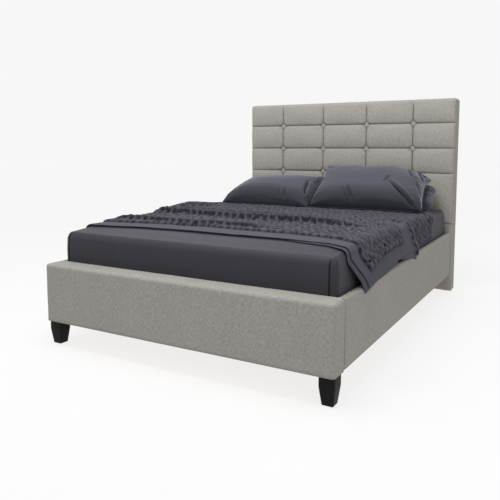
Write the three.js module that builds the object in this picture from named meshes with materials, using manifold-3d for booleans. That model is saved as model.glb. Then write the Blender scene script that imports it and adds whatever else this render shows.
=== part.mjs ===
// Queen-size upholstered bed: tufted headboard, footboard, side rails, slatted base and bedding.
// Millimetres, +Z up. X runs across the bed, -Y is the foot end and +Y the head end. The origin
// is on the floor, at the middle of the bed's width and length.
import * as THREE from 'three';
import { mergeVertices } from 'three/addons/utils/BufferGeometryUtils.js';
import { RoundedBoxGeometry } from 'three/addons/geometries/RoundedBoxGeometry.js';
import Module from 'manifold-3d';

const wasm = await Module();
wasm.setup();

// ---- driving dimensions ---------------------------------------------------------------------

const GAP = 0.3;                    // kept between pieces that touch
const SIDES = [['left', -1], ['right', 1]];

const BED_LENGTH = 2290;            // footboard front to headboard back
const FRAME_WIDTH = 1610;           // over the side rails
const FRAME_TOP = 428;
const FRAME_BOTTOM = 126;

const HEAD_WIDTH = 1630;
const HEAD_DEPTH = 105;
const HEAD_TOP = 1370;
const HEAD_BOTTOM = 16;
const TUFT_COLUMNS = [-520, -173, 173, 520];
const TUFT_ROWS = [1200, 1022, 845];
const SEAM_ROWS = [...TUFT_ROWS, 490];   // the lowest seam has no buttons
const HEAD_FOAM = 38;
const HEAD_PLY = 12;
const POST_WIDTH = 70;
const POST_DEPTH = 49;

const FOOT_DEPTH = 110;
const FOOT_FOAM = 16;
const FOOT_BOARD = 15;

const RAIL_THICKNESS = 37;
const RAIL_COVER = 4;
const COVER = 3;                    // upholstery fabric with its lining

const LEG_TOP = 70;
const LEG_BOTTOM = 49;
const LEG_STRAIGHT = 48;
const LEG_INSET = { side: 6, front: 20 };
const PLATE = 4;

const SLAT = { count: 8, width: 140, thickness: 19, top: 340.7 };
const LEDGER = { width: 25, height: 40 };
const BEAM = { width: 44, height: 70 };
const CENTRE_LEG = { width: 45, positions: [-400, 400] };
const LEVELLER = { radius: 20, height: 8, studRadius: 5, studLength: 37 };

const MATTRESS = { width: 1524, length: 2032, thickness: 254, edge: 26 };
const SHEET = 2;
const COVERLET = 4;
const THROW = 4.5;
const COVERLET_SPAN = [-800, 640];
const THROW_SPAN = [-805, 165];
const TUCK_START = 100;             // the coverlet hangs over the rails before this, tucked after

// ---- places worked out from them ---------------------------------------------------------------

const FOOT_FRONT = -BED_LENGTH / 2;
const FOOT_BACK = FOOT_FRONT + FOOT_DEPTH;
const HEAD_BACK = BED_LENGTH / 2;
const HEAD_FRONT = HEAD_BACK - HEAD_DEPTH;
const FRAME_HALF = FRAME_WIDTH / 2;
const HEAD_HALF = HEAD_WIDTH / 2;
const RAIL_INNER = FRAME_HALF - RAIL_THICKNESS;
const BOARD_INNER = RAIL_INNER + RAIL_COVER + GAP;
const SLAT_UNDER = SLAT.top - SLAT.thickness;
const BED_TOP = SLAT.top + MATTRESS.thickness + GAP;
const MATTRESS_FRONT = FOOT_BACK + 2;
const SHEET_HALF = MATTRESS.width / 2;

// ---- materials ----------------------------------------------------------------------------------

const MATERIALS = {
  linen: [0x97928a, 0.95, 0],
  lining: [0x2b2b2d, 0.95, 0],
  foam: [0xe6dfc8, 0.9, 0],
  ply: [0xc39b67, 0.7, 0],
  pine: [0xd8b787, 0.7, 0],
  ebonised: [0x1d1b1a, 0.45, 0],
  steel: [0x8b8d8f, 0.4, 1],
  plastic: [0x202124, 0.55, 0],
  ticking: [0xdad8d2, 0.9, 0],
  bedding: [0x52535b, 0.8, 0],
  satin: [0x5a5e66, 0.5, 0],
};

const bed = new THREE.Group();

function add(name, geometry, material) {
  const [color, roughness, metalness] = MATERIALS[material];
  const mesh = new THREE.Mesh(geometry, new THREE.MeshStandardMaterial({ color, roughness, metalness }));
  mesh.name = name;
  bed.add(mesh);
  return mesh;
}

// ---- joining and cutting ------------------------------------------------------------------------

function solid(geometry) {
  const bare = geometry.clone();
  bare.deleteAttribute('normal');
  bare.deleteAttribute('uv');
  const merged = mergeVertices(bare, 1e-4);
  return new wasm.Manifold(new wasm.Mesh({
    numProp: 3,
    vertProperties: new Float32Array(merged.attributes.position.array),
    triVerts: new Uint32Array(merged.index.array),
  }));
}

function toGeometry(manifold) {
  const mesh = manifold.getMesh();
  const geometry = new THREE.BufferGeometry();
  geometry.setAttribute('position', new THREE.BufferAttribute(mesh.vertProperties, 3));
  geometry.setIndex(new THREE.BufferAttribute(mesh.triVerts, 1));
  geometry.computeVertexNormals();
  return geometry;
}

function cut(geometry, ...tools) {
  return toGeometry(tools.reduce((body, tool) => body.subtract(solid(tool)), solid(geometry)));
}

function join(geometry, ...others) {
  return toGeometry(others.reduce((body, other) => body.add(solid(other)), solid(geometry)));
}

function keepInside(geometry, limit) {
  return toGeometry(solid(geometry).intersect(solid(limit)));
}

// ---- basic shapes -------------------------------------------------------------------------------

// A block between two corners, given as [low, high] on each axis.
function block(x, y, z) {
  const geometry = new THREE.BoxGeometry(x[1] - x[0], y[1] - y[0], z[1] - z[0]);
  return geometry.translate((x[0] + x[1]) / 2, (y[0] + y[1]) / 2, (z[0] + z[1]) / 2);
}

// The same block with its edges rounded, except around the faces named in flat, such as '-z'.
function roundedBlock(x, y, z, radius, flat = []) {
  const reach = [x, y, z].map(([low, high], axis) => {
    const letter = 'xyz'[axis];
    return [
      flat.includes(`-${letter}`) ? low - 2 * radius : low,
      flat.includes(`+${letter}`) ? high + 2 * radius : high,
    ];
  });
  const [width, length, height] = reach.map(([low, high]) => high - low);
  const geometry = new RoundedBoxGeometry(width, length, height, 2, radius);
  geometry.translate(...reach.map(([low, high]) => (low + high) / 2));
  return keepInside(geometry, block(x, y, z));
}

// A shape drawn in the XZ plane, extruded along Y over a span.
function alongBed(shape, span) {
  const geometry = new THREE.ExtrudeGeometry(shape, { depth: span[1] - span[0], bevelEnabled: false });
  return geometry.rotateX(Math.PI / 2).translate(0, span[1], 0);
}

function upright(radius, z, x = 0, y = 0, segments = 16) {
  const geometry = new THREE.CylinderGeometry(radius, radius, z[1] - z[0], segments);
  return geometry.rotateX(Math.PI / 2).translate(x, y, (z[0] + z[1]) / 2);
}

// A turned shape pointing along -Y, from [radius, distance in front of its seat] points.
function turnedForward(points, segments = 10) {
  const profile = points.map(([radius, height]) => new THREE.Vector2(radius, height));
  return new THREE.LatheGeometry(profile, segments).rotateX(Math.PI);
}

// ---- headboard ----------------------------------------------------------------------------------

const tufts = TUFT_ROWS.flatMap((z, row) => TUFT_COLUMNS.map((x, column) => ({ x, z, row, column })));
const DIMPLE = { radius: 42, floor: 19, depth: 15 };
const GROOVE = { halfWidth: 13, depth: 9 };
const SHANK = 2.5;
const FAR = 60;                     // how far a cutting tool runs past what it cuts

// Dimples and V grooves in the headboard's front, set deeper for the layers under the cover.
function tuftingCuts(offset) {
  const face = HEAD_FRONT + offset;
  const dimples = tufts.map(({ x, z }) => turnedForward([
    [0, -DIMPLE.depth], [DIMPLE.floor, -DIMPLE.depth], [DIMPLE.radius, 0], [DIMPLE.radius, FAR], [0, FAR],
  ]).translate(x, face, z));
  const groove = new THREE.Shape([
    new THREE.Vector2(0, GROOVE.depth),
    new THREE.Vector2(GROOVE.halfWidth, -GAP),
    new THREE.Vector2(-GROOVE.halfWidth, -GAP),
  ]);
  const across = SEAM_ROWS.map((z) => new THREE.ExtrudeGeometry(groove, {
    depth: 2 * HEAD_WIDTH, bevelEnabled: false,
  }).rotateY(Math.PI / 2).translate(-HEAD_WIDTH, face, z));
  const down = TUFT_COLUMNS.map((x) => new THREE.ExtrudeGeometry(groove, {
    depth: HEAD_TOP - SEAM_ROWS.at(-1) - 30, bevelEnabled: false,
  }).translate(x, face, SEAM_ROWS.at(-1)));
  return [...dimples, ...across, ...down];
}

const shankHoles = tufts.map(({ x, z }) => turnedForward([
  [0, -HEAD_DEPTH], [SHANK + GAP, -HEAD_DEPTH], [SHANK + GAP, FAR], [0, FAR],
], 8).translate(x, HEAD_FRONT, z));

const HEAD_EDGE = 18;

function headboardCover() {
  const outside = roundedBlock([-HEAD_HALF, HEAD_HALF], [HEAD_FRONT, HEAD_BACK], [HEAD_BOTTOM, HEAD_TOP],
    HEAD_EDGE, ['+y', '-z']);
  const shaped = cut(outside, ...tuftingCuts(0));
  const inside = roundedBlock([-HEAD_HALF + COVER, HEAD_HALF - COVER], [HEAD_FRONT + COVER, HEAD_BACK + FAR],
    [HEAD_BOTTOM - FAR, HEAD_TOP - COVER], HEAD_EDGE - COVER, ['+y', '-z']);
  return cut(shaped, cut(inside, ...tuftingCuts(COVER)), ...shankHoles);
}

function headboardFoam() {
  const edge = COVER + GAP;
  const slab = roundedBlock([-HEAD_HALF + edge, HEAD_HALF - edge],
    [HEAD_FRONT + edge, HEAD_FRONT + edge + HEAD_FOAM], [HEAD_BOTTOM + 4, HEAD_TOP - edge],
    HEAD_EDGE - COVER, ['+y', '-z']);
  return cut(slab, ...tuftingCuts(edge), ...shankHoles);
}

const PLY_FRONT = HEAD_FRONT + COVER + HEAD_FOAM + 2 * GAP;
const POST_FRONT = PLY_FRONT + HEAD_PLY + GAP;
const POST_BACK = POST_FRONT + POST_DEPTH;
const WOOD_INSET = COVER + 5;       // the timber's square corners stay clear of the rounded cover
const INNER_HALF = HEAD_HALF - WOOD_INSET;
const INNER_TOP = HEAD_TOP - WOOD_INSET;

function button() {
  const head = [[0, -34], [SHANK, -34], [SHANK, 0], [15, 0], [15, 2], [12, 5], [6, 7], [0, 7.5]];
  return turnedForward(head);
}

add('headboard_cover', headboardCover(), 'linen');
add('headboard_foam', headboardFoam(), 'foam');
add('headboard_panel', cut(block([-INNER_HALF, INNER_HALF], [PLY_FRONT, PLY_FRONT + HEAD_PLY],
  [HEAD_BOTTOM + 4, INNER_TOP]), ...shankHoles), 'ply');
for (const [side, sign] of SIDES) {
  const x = [INNER_HALF - POST_WIDTH, INNER_HALF].map((value) => sign * value).sort((a, b) => a - b);
  add(`headboard_post_${side}`, block(x, [POST_FRONT, POST_BACK], [0, INNER_TOP]), 'pine');
}
const RAIL_REACH = INNER_HALF - POST_WIDTH - GAP;
for (const [name, z] of [['top', [INNER_TOP - POST_WIDTH, INNER_TOP]], ['bottom', [230, 230 + POST_WIDTH]]]) {
  add(`headboard_${name}_rail`, block([-RAIL_REACH, RAIL_REACH], [POST_FRONT, POST_BACK], z), 'pine');
}
add('headboard_back_cloth', block([-INNER_HALF, INNER_HALF], [POST_BACK + GAP, POST_BACK + GAP + 1.5],
  [HEAD_BOTTOM + 4, INNER_TOP]), 'lining');
for (const { x, z, row, column } of tufts) {
  const tuft = add(`button_${row + 1}_${column + 1}`, button(), 'linen');
  tuft.position.set(x, HEAD_FRONT + DIMPLE.depth - GAP, z);
}

// ---- footboard ----------------------------------------------------------------------------------

const FOOT_EDGE = 14;
const FOOT_CORE_HALF = FRAME_HALF - COVER - FOOT_FOAM - 2 * GAP;
const FOOT_CORE_FRONT = FOOT_FRONT + COVER + FOOT_FOAM + 2 * GAP;
const FOOT_CORE_BACK = FOOT_BACK - COVER - GAP;
const FOOT_CORE_TOP = FRAME_TOP - COVER - FOOT_FOAM - 2 * GAP;
const FOOT_CORE_BOTTOM = FRAME_BOTTOM + PLATE + GAP;

function footboardCover() {
  const outside = roundedBlock([-FRAME_HALF, FRAME_HALF], [FOOT_FRONT, FOOT_BACK], [FRAME_BOTTOM, FRAME_TOP],
    FOOT_EDGE, ['+y', '-z']);
  const inside = roundedBlock([-FRAME_HALF + COVER, FRAME_HALF - COVER],
    [FOOT_FRONT + COVER, FOOT_BACK - COVER], [FRAME_BOTTOM - FAR, FRAME_TOP - COVER],
    FOOT_EDGE - COVER, ['+y', '-z']);
  return cut(outside, inside);
}

function footboardFoam() {
  const edge = COVER + GAP;
  const outside = roundedBlock([-FRAME_HALF + edge, FRAME_HALF - edge], [FOOT_FRONT + edge, FOOT_CORE_BACK],
    [FOOT_CORE_BOTTOM, FRAME_TOP - edge], FOOT_EDGE - COVER, ['+y', '-z']);
  const inside = block([-FOOT_CORE_HALF - GAP, FOOT_CORE_HALF + GAP],
    [FOOT_CORE_FRONT - GAP, FOOT_BACK + FAR], [FRAME_BOTTOM - FAR, FOOT_CORE_TOP + GAP]);
  return cut(outside, inside);
}

function footboardBox() {
  const outside = block([-FOOT_CORE_HALF, FOOT_CORE_HALF], [FOOT_CORE_FRONT, FOOT_CORE_BACK],
    [FOOT_CORE_BOTTOM, FOOT_CORE_TOP]);
  const inside = block([-FOOT_CORE_HALF - FAR, FOOT_CORE_HALF + FAR],
    [FOOT_CORE_FRONT + FOOT_BOARD, FOOT_CORE_BACK - FOOT_BOARD],
    [FRAME_BOTTOM - FAR, FOOT_CORE_TOP - FOOT_BOARD]);
  return cut(outside, inside);
}

add('footboard_cover', footboardCover(), 'linen');
add('footboard_foam', footboardFoam(), 'foam');
add('footboard_box', footboardBox(), 'ply');
add('footboard_bottom_batten', block([-FOOT_CORE_HALF, FOOT_CORE_HALF],
  [FOOT_CORE_FRONT + FOOT_BOARD + GAP, FOOT_CORE_BACK - FOOT_BOARD - GAP],
  [FOOT_CORE_BOTTOM, FOOT_CORE_BOTTOM + 45]), 'pine');

// ---- front legs and the plates that bolt them on ------------------------------------------------

const STUD = { radius: 4, length: 40 };

function frontLeg() {
  const top = FRAME_BOTTOM - GAP;
  const half = LEG_TOP / 2;
  const straight = block([-half, half], [-half, half], [top - LEG_STRAIGHT - GAP, top]);
  const corner = Math.SQRT1_2;
  const taper = new THREE.CylinderGeometry(LEG_TOP * corner, LEG_BOTTOM * corner, top - LEG_STRAIGHT, 4)
    .rotateY(Math.PI / 4).rotateX(Math.PI / 2).translate(0, 0, (top - LEG_STRAIGHT) / 2);
  const bore = upright(STUD.radius + GAP, [top - STUD.length - 2, top + 1], 0, 0, 12);
  return cut(join(straight, taper), bore);
}

function legPlate() {
  const half = LEG_TOP / 2;
  const plate = block([-half, half], [-half, half], [FRAME_BOTTOM, FRAME_BOTTOM + PLATE]);
  return join(plate, upright(STUD.radius, [FRAME_BOTTOM - GAP - STUD.length, FRAME_BOTTOM + 1], 0, 0, 12));
}

for (const [side, sign] of SIDES) {
  const x = sign * (FRAME_HALF - LEG_INSET.side - LEG_TOP / 2);
  const y = FOOT_FRONT + LEG_INSET.front + LEG_TOP / 2;
  add(`front_leg_${side}`, frontLeg(), 'ebonised').position.set(x, y, 0);
  add(`leg_plate_${side}`, legPlate(), 'steel').position.set(x, y, 0);
}

// ---- side rails ---------------------------------------------------------------------------------

const RAIL_SPAN = [FOOT_BACK + GAP, HEAD_FRONT - GAP];
const COVER_RETURN = 40;            // how far the rail's fabric comes back round the inside

function mirrored(sign, low, high) {
  return sign > 0 ? [low, high] : [-high, -low];
}

function railCover(sign) {
  const outside = roundedBlock(mirrored(sign, RAIL_INNER, FRAME_HALF), RAIL_SPAN, [FRAME_BOTTOM, FRAME_TOP],
    15, ['-y', '+y', '-z']);
  const board = roundedBlock(mirrored(sign, RAIL_INNER + RAIL_COVER, FRAME_HALF - RAIL_COVER),
    [FOOT_BACK - FAR, HEAD_FRONT + FAR], [FRAME_BOTTOM + RAIL_COVER, FRAME_TOP - RAIL_COVER],
    11, ['-y', '+y', '-z']);
  const opening = block(mirrored(sign, RAIL_INNER - FAR, RAIL_INNER + RAIL_COVER + 1),
    [FOOT_BACK - FAR, HEAD_FRONT + FAR], [FRAME_BOTTOM + COVER_RETURN, FRAME_TOP - COVER_RETURN]);
  return cut(outside, board, opening);
}

for (const [side, sign] of SIDES) {
  const inset = RAIL_COVER + GAP;
  add(`rail_cover_${side}`, railCover(sign), 'linen');
  add(`side_rail_${side}`, roundedBlock(mirrored(sign, BOARD_INNER, FRAME_HALF - inset), RAIL_SPAN,
    [FRAME_BOTTOM + inset, FRAME_TOP - inset], 10, ['-y', '+y', '-z']), 'pine');
  add(`slat_ledger_${side}`, block(mirrored(sign, BOARD_INNER - GAP - LEDGER.width, BOARD_INNER - GAP),
    [RAIL_SPAN[0] + 5, RAIL_SPAN[1] - 5], [SLAT_UNDER - GAP - LEDGER.height, SLAT_UNDER - GAP]), 'pine');
}

// ---- corner brackets ----------------------------------------------------------------------------

const BRACKET = { reach: 60, height: 105, bottom: 168 };

// A steel angle in the inner corner where a rail meets an end board.
function cornerBracket(sign, end) {
  const z = [BRACKET.bottom, BRACKET.bottom + BRACKET.height];
  const face = end > 0 ? HEAD_FRONT - GAP : FOOT_BACK + GAP;
  const along = (depth) => (end > 0 ? [face - depth, face] : [face, face + depth]);
  const across = (depth) => mirrored(sign, BOARD_INNER - GAP - depth, BOARD_INNER - GAP);
  return join(block(across(PLATE), along(BRACKET.reach), z), block(across(BRACKET.reach), along(PLATE), z));
}

for (const [side, sign] of SIDES) {
  add(`corner_bracket_head_${side}`, cornerBracket(sign, 1), 'steel');
  add(`corner_bracket_foot_${side}`, cornerBracket(sign, -1), 'steel');
}

// ---- centre beam, its hangers and legs ----------------------------------------------------------

const BEAM_Z = [SLAT_UNDER - GAP - BEAM.height, SLAT_UNDER - GAP];
const HANGER = { wall: 3, length: 40, flange: 55 };

function beamHanger(end) {
  const face = end > 0 ? HEAD_FRONT - GAP : FOOT_BACK + GAP;
  const along = (from, to) => (end > 0 ? [face - to, face - from] : [face + from, face + to]);
  const half = BEAM.width / 2 + GAP;
  const under = BEAM_Z[0] - GAP - HANGER.wall;
  const cradle = cut(
    block([-half - HANGER.wall, half + HANGER.wall], along(0, HANGER.length), [under, BEAM_Z[1]]),
    block([-half, half], along(HANGER.wall, HANGER.length + 1), [BEAM_Z[0] - GAP, BEAM_Z[1] + FAR]),
  );
  const flange = block([-HANGER.flange, HANGER.flange], along(0, HANGER.wall), [under, BEAM_Z[1] - 10]);
  return join(cradle, flange);
}

const BEAM_END = HANGER.wall + 2 * GAP;
add('centre_beam', block([-BEAM.width / 2, BEAM.width / 2],
  [FOOT_BACK + BEAM_END, HEAD_FRONT - BEAM_END], BEAM_Z), 'pine');
add('beam_hanger_foot', beamHanger(-1), 'steel');
add('beam_hanger_head', beamHanger(1), 'steel');

function centreLeg() {
  const half = CENTRE_LEG.width / 2;
  const post = block([-half, half], [-half, half], [LEVELLER.height + GAP, BEAM_Z[0] - GAP]);
  const boreTop = LEVELLER.height + LEVELLER.studLength + 6;
  return cut(post, upright(LEVELLER.studRadius + GAP, [0, boreTop]));
}

function levellingFoot() {
  const pad = upright(LEVELLER.radius, [0, LEVELLER.height], 0, 0, 24);
  return join(pad, upright(LEVELLER.studRadius, [1, LEVELLER.height + LEVELLER.studLength]));
}

for (const [index, y] of CENTRE_LEG.positions.entries()) {
  add(`centre_leg_${index + 1}`, centreLeg(), 'pine').position.set(0, y, 0);
  add(`levelling_foot_${index + 1}`, levellingFoot(), 'plastic').position.set(0, y, 0);
}

// ---- slats --------------------------------------------------------------------------------------

const SLAT_HALF = BOARD_INNER - 2.7;
const SLAT_MARGIN = 12;
const slatRun = RAIL_SPAN[1] - RAIL_SPAN[0] - 2 * SLAT_MARGIN - SLAT.width;
for (let index = 0; index < SLAT.count; index += 1) {
  const start = RAIL_SPAN[0] + SLAT_MARGIN + slatRun * index / (SLAT.count - 1);
  add(`slat_${index + 1}`, block([-SLAT_HALF, SLAT_HALF], [start, start + SLAT.width],
    [SLAT_UNDER, SLAT.top]), 'pine');
}

// ---- mattress and fitted sheet ------------------------------------------------------------------

const SHEET_SPAN = [MATTRESS_FRONT, MATTRESS_FRONT + MATTRESS.length];
const inset = SHEET + GAP;
const mattressX = [-SHEET_HALF + inset, SHEET_HALF - inset];
const mattressY = [SHEET_SPAN[0] + inset, SHEET_SPAN[1] - inset];

function fittedSheet() {
  const outside = roundedBlock([-SHEET_HALF, SHEET_HALF], SHEET_SPAN, [SLAT.top + 4, BED_TOP],
    MATTRESS.edge, ['-z']);
  const inside = roundedBlock([-SHEET_HALF + SHEET, SHEET_HALF - SHEET],
    [SHEET_SPAN[0] + SHEET, SHEET_SPAN[1] - SHEET], [SLAT.top - FAR, BED_TOP - SHEET],
    MATTRESS.edge - SHEET, ['-z']);
  return cut(outside, inside);
}

add('mattress', roundedBlock(mattressX, mattressY, [SLAT.top + GAP, BED_TOP - inset],
  MATTRESS.edge - inset), 'ticking');
add('fitted_sheet', fittedSheet(), 'bedding');

// ---- coverlet and throw -------------------------------------------------------------------------

// The hem of a side that hangs over the rail, and of one tucked in beside the mattress.
const HANG = { arc: 0.35, hem: [[FRAME_HALF - 2.5, 447], [FRAME_HALF - 0.2, 436], [FRAME_HALF - 0.2, 404]] };
const TUCK = { arc: 0.5, hem: [[SHEET_HALF, 405]] };
const ARC_STEPS = 8;

// The line a cover follows over the mattress, from its flat top out: round the edge by arc half
// turns, then down to the hem. lift is how far it stands off the fitted sheet.
function halfSection(lift, { arc, hem }) {
  const radius = MATTRESS.edge + lift;
  const line = [];
  for (let step = 0; step <= ARC_STEPS; step += 1) {
    const angle = Math.PI * arc * step / ARC_STEPS;
    const x = SHEET_HALF - MATTRESS.edge + radius * Math.sin(angle);
    line.push([x, BED_TOP - MATTRESS.edge + radius * Math.cos(angle)]);
  }
  return [...line, ...hem.map(([x, z]) => [x + lift, z])];
}

function cover(lift, thickness, side, span) {
  const outer = halfSection(lift + thickness, side);
  const inner = halfSection(lift, side);
  const opposite = (line) => line.map(([x, z]) => [-x, z]);
  const outline = [...opposite(outer).reverse(), ...outer, ...inner.reverse(), ...opposite(inner).reverse()];
  return alongBed(new THREE.Shape(outline.map(([x, z]) => new THREE.Vector2(x, z))), span);
}

const COVERLET_LIFT = 2 * GAP;
const THROW_LIFT = COVERLET_LIFT + COVERLET + 3 * GAP;
add('coverlet', join(
  cover(COVERLET_LIFT, COVERLET, HANG, [COVERLET_SPAN[0], TUCK_START]),
  cover(COVERLET_LIFT, COVERLET, TUCK, [TUCK_START - 1, COVERLET_SPAN[1]]),
), 'bedding');
add('throw', cover(THROW_LIFT, THROW, HANG, THROW_SPAN), 'bedding');

// ---- pillows ------------------------------------------------------------------------------------

const PILLOW_REST = BED_TOP + COVERLET_LIFT + COVERLET + GAP;
const PILLOW_SEAM = 3;
const PILLOW_CREST = -0.45;
const PILLOWS = {
  left: {
    length: 695, height: 545, front: 98, back: 60, centre: [-390, 706, 706], tilt: 19, lean: 0, droop: 10,
  },
  back: {
    length: 720, height: 400, front: 52, back: 45, centre: [392, 812, 690], tilt: 25, lean: -20, droop: 12,
  },
  right: {
    length: 785, height: 550, front: 102, back: 50, centre: [324, 706, 757], tilt: 29.5, lean: -30, droop: 90,
  },
};

// How full a pillow is, from 0 at its seams to 1 at its crest, which lies near its lower edge.
function pillowFullness(u, v) {
  const across = Math.max(0, 1 - Math.abs(u) ** 3.4) ** 0.55;
  const above = v > PILLOW_CREST;
  const reach = Math.abs(v - PILLOW_CREST) / (above ? 1 - PILLOW_CREST : 1 + PILLOW_CREST);
  return across * Math.max(0, 1 - reach ** 2.2) ** (above ? 0.8 : 0.5);
}

// A filled pillow, its sides drawn in between the corners. lean shifts its top sideways, and droop
// lowers its upper right corner.
function pillow({ length, height, front, back, tilt, centre, lean, droop }) {
  const geometry = new THREE.BoxGeometry(length, height, 2, 12, 12, 1);
  const position = geometry.attributes.position;
  const drop = [];
  for (let index = 0; index < position.count; index += 1) {
    const u = 2 * position.getX(index) / length;
    const v = 2 * position.getY(index) / height;
    const side = position.getZ(index);
    const half = PILLOW_SEAM + ((side > 0 ? front : back) - PILLOW_SEAM) * pillowFullness(u, v);
    drop.push(droop * Math.max(0, 1.25 * u - 0.25) ** 2 * THREE.MathUtils.smoothstep(v, -0.2, 1));
    position.setXYZ(index,
      position.getX(index) * (1 - 0.045 * (1 - v ** 2)) + lean * v,
      position.getY(index) * (1 - 0.055 * (1 - u ** 2)),
      side * half);
  }
  geometry.rotateX(THREE.MathUtils.degToRad(tilt)).translate(...centre);
  for (let index = 0; index < position.count; index += 1) {
    position.setY(index, Math.min(position.getY(index), HEAD_FRONT - 2));
    position.setZ(index, Math.max(position.getZ(index) - drop[index], PILLOW_REST));
  }
  return geometry;
}

for (const [name, shape] of Object.entries(PILLOWS)) {
  add(`pillow_${name}`, pillow(shape), 'satin');
}

export default bed;
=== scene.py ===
"""Looks of the upholstered bed: tufted headboard, covered rails, legs, mattress, bedding and pillows,
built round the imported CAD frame. Metres; +Z up, -Y the foot end, +Y the head end."""

import math

import bpy
import numpy as np
from mathutils import Euler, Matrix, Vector


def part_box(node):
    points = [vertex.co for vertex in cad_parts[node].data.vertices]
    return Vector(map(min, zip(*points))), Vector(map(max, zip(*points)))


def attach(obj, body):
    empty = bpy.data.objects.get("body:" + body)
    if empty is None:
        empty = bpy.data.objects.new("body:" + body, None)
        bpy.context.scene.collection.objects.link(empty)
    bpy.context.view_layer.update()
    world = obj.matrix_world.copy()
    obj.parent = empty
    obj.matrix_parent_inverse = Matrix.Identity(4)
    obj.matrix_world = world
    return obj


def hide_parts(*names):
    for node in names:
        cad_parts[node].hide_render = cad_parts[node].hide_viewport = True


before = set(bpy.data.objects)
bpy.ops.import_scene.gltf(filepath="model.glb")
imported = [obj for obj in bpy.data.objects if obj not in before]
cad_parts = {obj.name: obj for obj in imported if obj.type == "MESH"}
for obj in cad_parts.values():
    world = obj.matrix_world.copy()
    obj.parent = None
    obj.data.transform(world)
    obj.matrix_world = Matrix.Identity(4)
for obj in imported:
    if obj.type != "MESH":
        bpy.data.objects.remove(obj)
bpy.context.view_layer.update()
scene = bpy.context.scene

MM = 0.001
SIDES = (("left", -1), ("right", 1))


# ---- numbers and fields ----

def smoothstep(value, start, end):
    """0 before start, 1 after end, and a smooth rise between them."""
    t = np.clip((np.asarray(value, float) - start) / (end - start), 0, 1)
    return t * t * (3 - 2 * t)


def bell(value, width):
    return np.exp(-(np.asarray(value, float) / width) ** 2)


def lattice_value(cells, seed):
    """A repeatable value from -1 to 1 for each whole-numbered cell."""
    mixed = cells[..., 0] * 73856093 ^ cells[..., 1] * 19349663 ^ cells[..., 2] * 83492791 ^ seed * 2654435
    mixed = (mixed ^ (mixed >> 13)) * 1274126177 & 0x7FFFFFFF
    mixed = (mixed ^ (mixed >> 11)) & 0xFFFF
    return mixed / 32767.5 - 1


def noise(points, cell, seed=0):
    """Smooth noise from -1 to 1 at points, its bumps about one cell across. cell may differ by axis."""
    scaled = np.asarray(points, float) / cell
    base = np.floor(scaled).astype(np.int64)
    t = scaled - base
    t = t * t * (3 - 2 * t)
    total = np.zeros(scaled.shape[:-1])
    for corner in np.ndindex(2, 2, 2):
        weight = np.prod(np.where(np.array(corner) == 1, t, 1 - t), axis=-1)
        total += weight * lattice_value(base + np.array(corner), seed)
    return total


def nearest(values, places):
    """Distance from each value to the nearest of places."""
    return np.min(np.abs(np.asarray(values)[..., None] - np.array(places)), axis=-1)


# ---- mesh building ----

# Name of the per-point attribute of painted shade, which the cloth finishes darken by.
SHADE_ATTRIBUTE = "painted_shade"
EDGE_STEPS = np.tan(np.radians([45, 36, 27, 18, 9, 0]))
SEAM_OFFSETS = np.array([0, 1.2, 3, 6, 10, 15, 22]) * MM


def grid_lines(low, high, near=0.0, far=0.0, step=0.02, seams=()):
    """Grid coordinates from low to high: close together round the edges and beside each seam."""
    lines = [low, high, *np.arange(low + near, high - far, step), high - far]
    if near:
        lines.extend(low + near * (1 - EDGE_STEPS))
    if far:
        lines.extend(high - far * (1 - EDGE_STEPS))
    for seam in seams:
        beside = seam + np.concatenate([-SEAM_OFFSETS, SEAM_OFFSETS])
        lines = [line for line in lines if abs(line - seam) > SEAM_OFFSETS[-1] + step / 3]
        lines.extend(beside)
    lines = np.unique(np.round([line for line in lines if low - 1e-9 <= line <= high + 1e-9], 6))
    keep = np.concatenate([[True], np.diff(lines) > 0.4 * MM])
    keep[-1] = True
    return lines[keep]


def rounded_skin(lines, near, far, skip=()):
    """The skin of a block whose grid lines are given by axis, its edges rounded by near and far radii
    on each axis' low and high side. Faces named in skip, such as '-z', are left open."""
    low = np.array([axis[0] for axis in lines])
    high = np.array([axis[-1] for axis in lines])
    near, far = np.array(near, float), np.array(far, float)
    counts = [len(axis) for axis in lines]
    faces = [(axis, end) for axis in range(3) for end in (0, counts[axis] - 1)
             if ("-+"[end > 0] + "xyz"[axis]) not in skip]
    used = np.zeros(counts, bool)
    for axis, end in faces:
        used[tuple(end if a == axis else slice(None) for a in range(3))] = True
    ids = np.cumsum(used).reshape(counts) - 1
    points = np.stack([lines[a][index] for a, index in enumerate(np.nonzero(used))], axis=-1)
    quads = []
    for axis, end in faces:
        sheet = np.take(ids, end, axis=axis)
        sheet = sheet.T if axis == 1 else sheet
        sheet = sheet if end else sheet[::-1]
        quads.append(quads_of(sheet))
    core = np.clip(points, low + near, high - far)
    reach = points - core
    radius = np.where(reach < 0, near, far)
    radius[radius == 0] = 1
    turned = reach / radius
    turned /= np.maximum(np.linalg.norm(turned, axis=1, keepdims=True), 1e-9)
    normals = turned / radius
    normals /= np.maximum(np.linalg.norm(normals, axis=1, keepdims=True), 1e-9)
    return core + turned * radius, normals, np.concatenate(quads)


def quads_of(ids):
    """Quads over a grid of vertex numbers."""
    corners = (ids[:-1, :-1], ids[1:, :-1], ids[1:, 1:], ids[:-1, 1:])
    return np.stack([corner.ravel() for corner in corners], axis=-1)


def border_edges(quads):
    """Edges that only one quad uses, in that quad's direction."""
    edges = np.concatenate([quads[:, [a, (a + 1) % 4]] for a in range(4)])
    keys = np.sort(edges, axis=1)
    _, index, count = np.unique(keys, axis=0, return_index=True, return_counts=True)
    return edges[index[count == 1]]


def two_sided(quads, shift):
    """Quads of a skin, of its copy, whose vertex numbers are shift higher, and of the rim between them."""
    rim = border_edges(quads)
    rim_quads = np.stack([rim[:, 1], rim[:, 0], rim[:, 0] + shift, rim[:, 1] + shift], axis=-1)
    return np.concatenate([quads, quads[:, ::-1] + shift, rim_quads])


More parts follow.
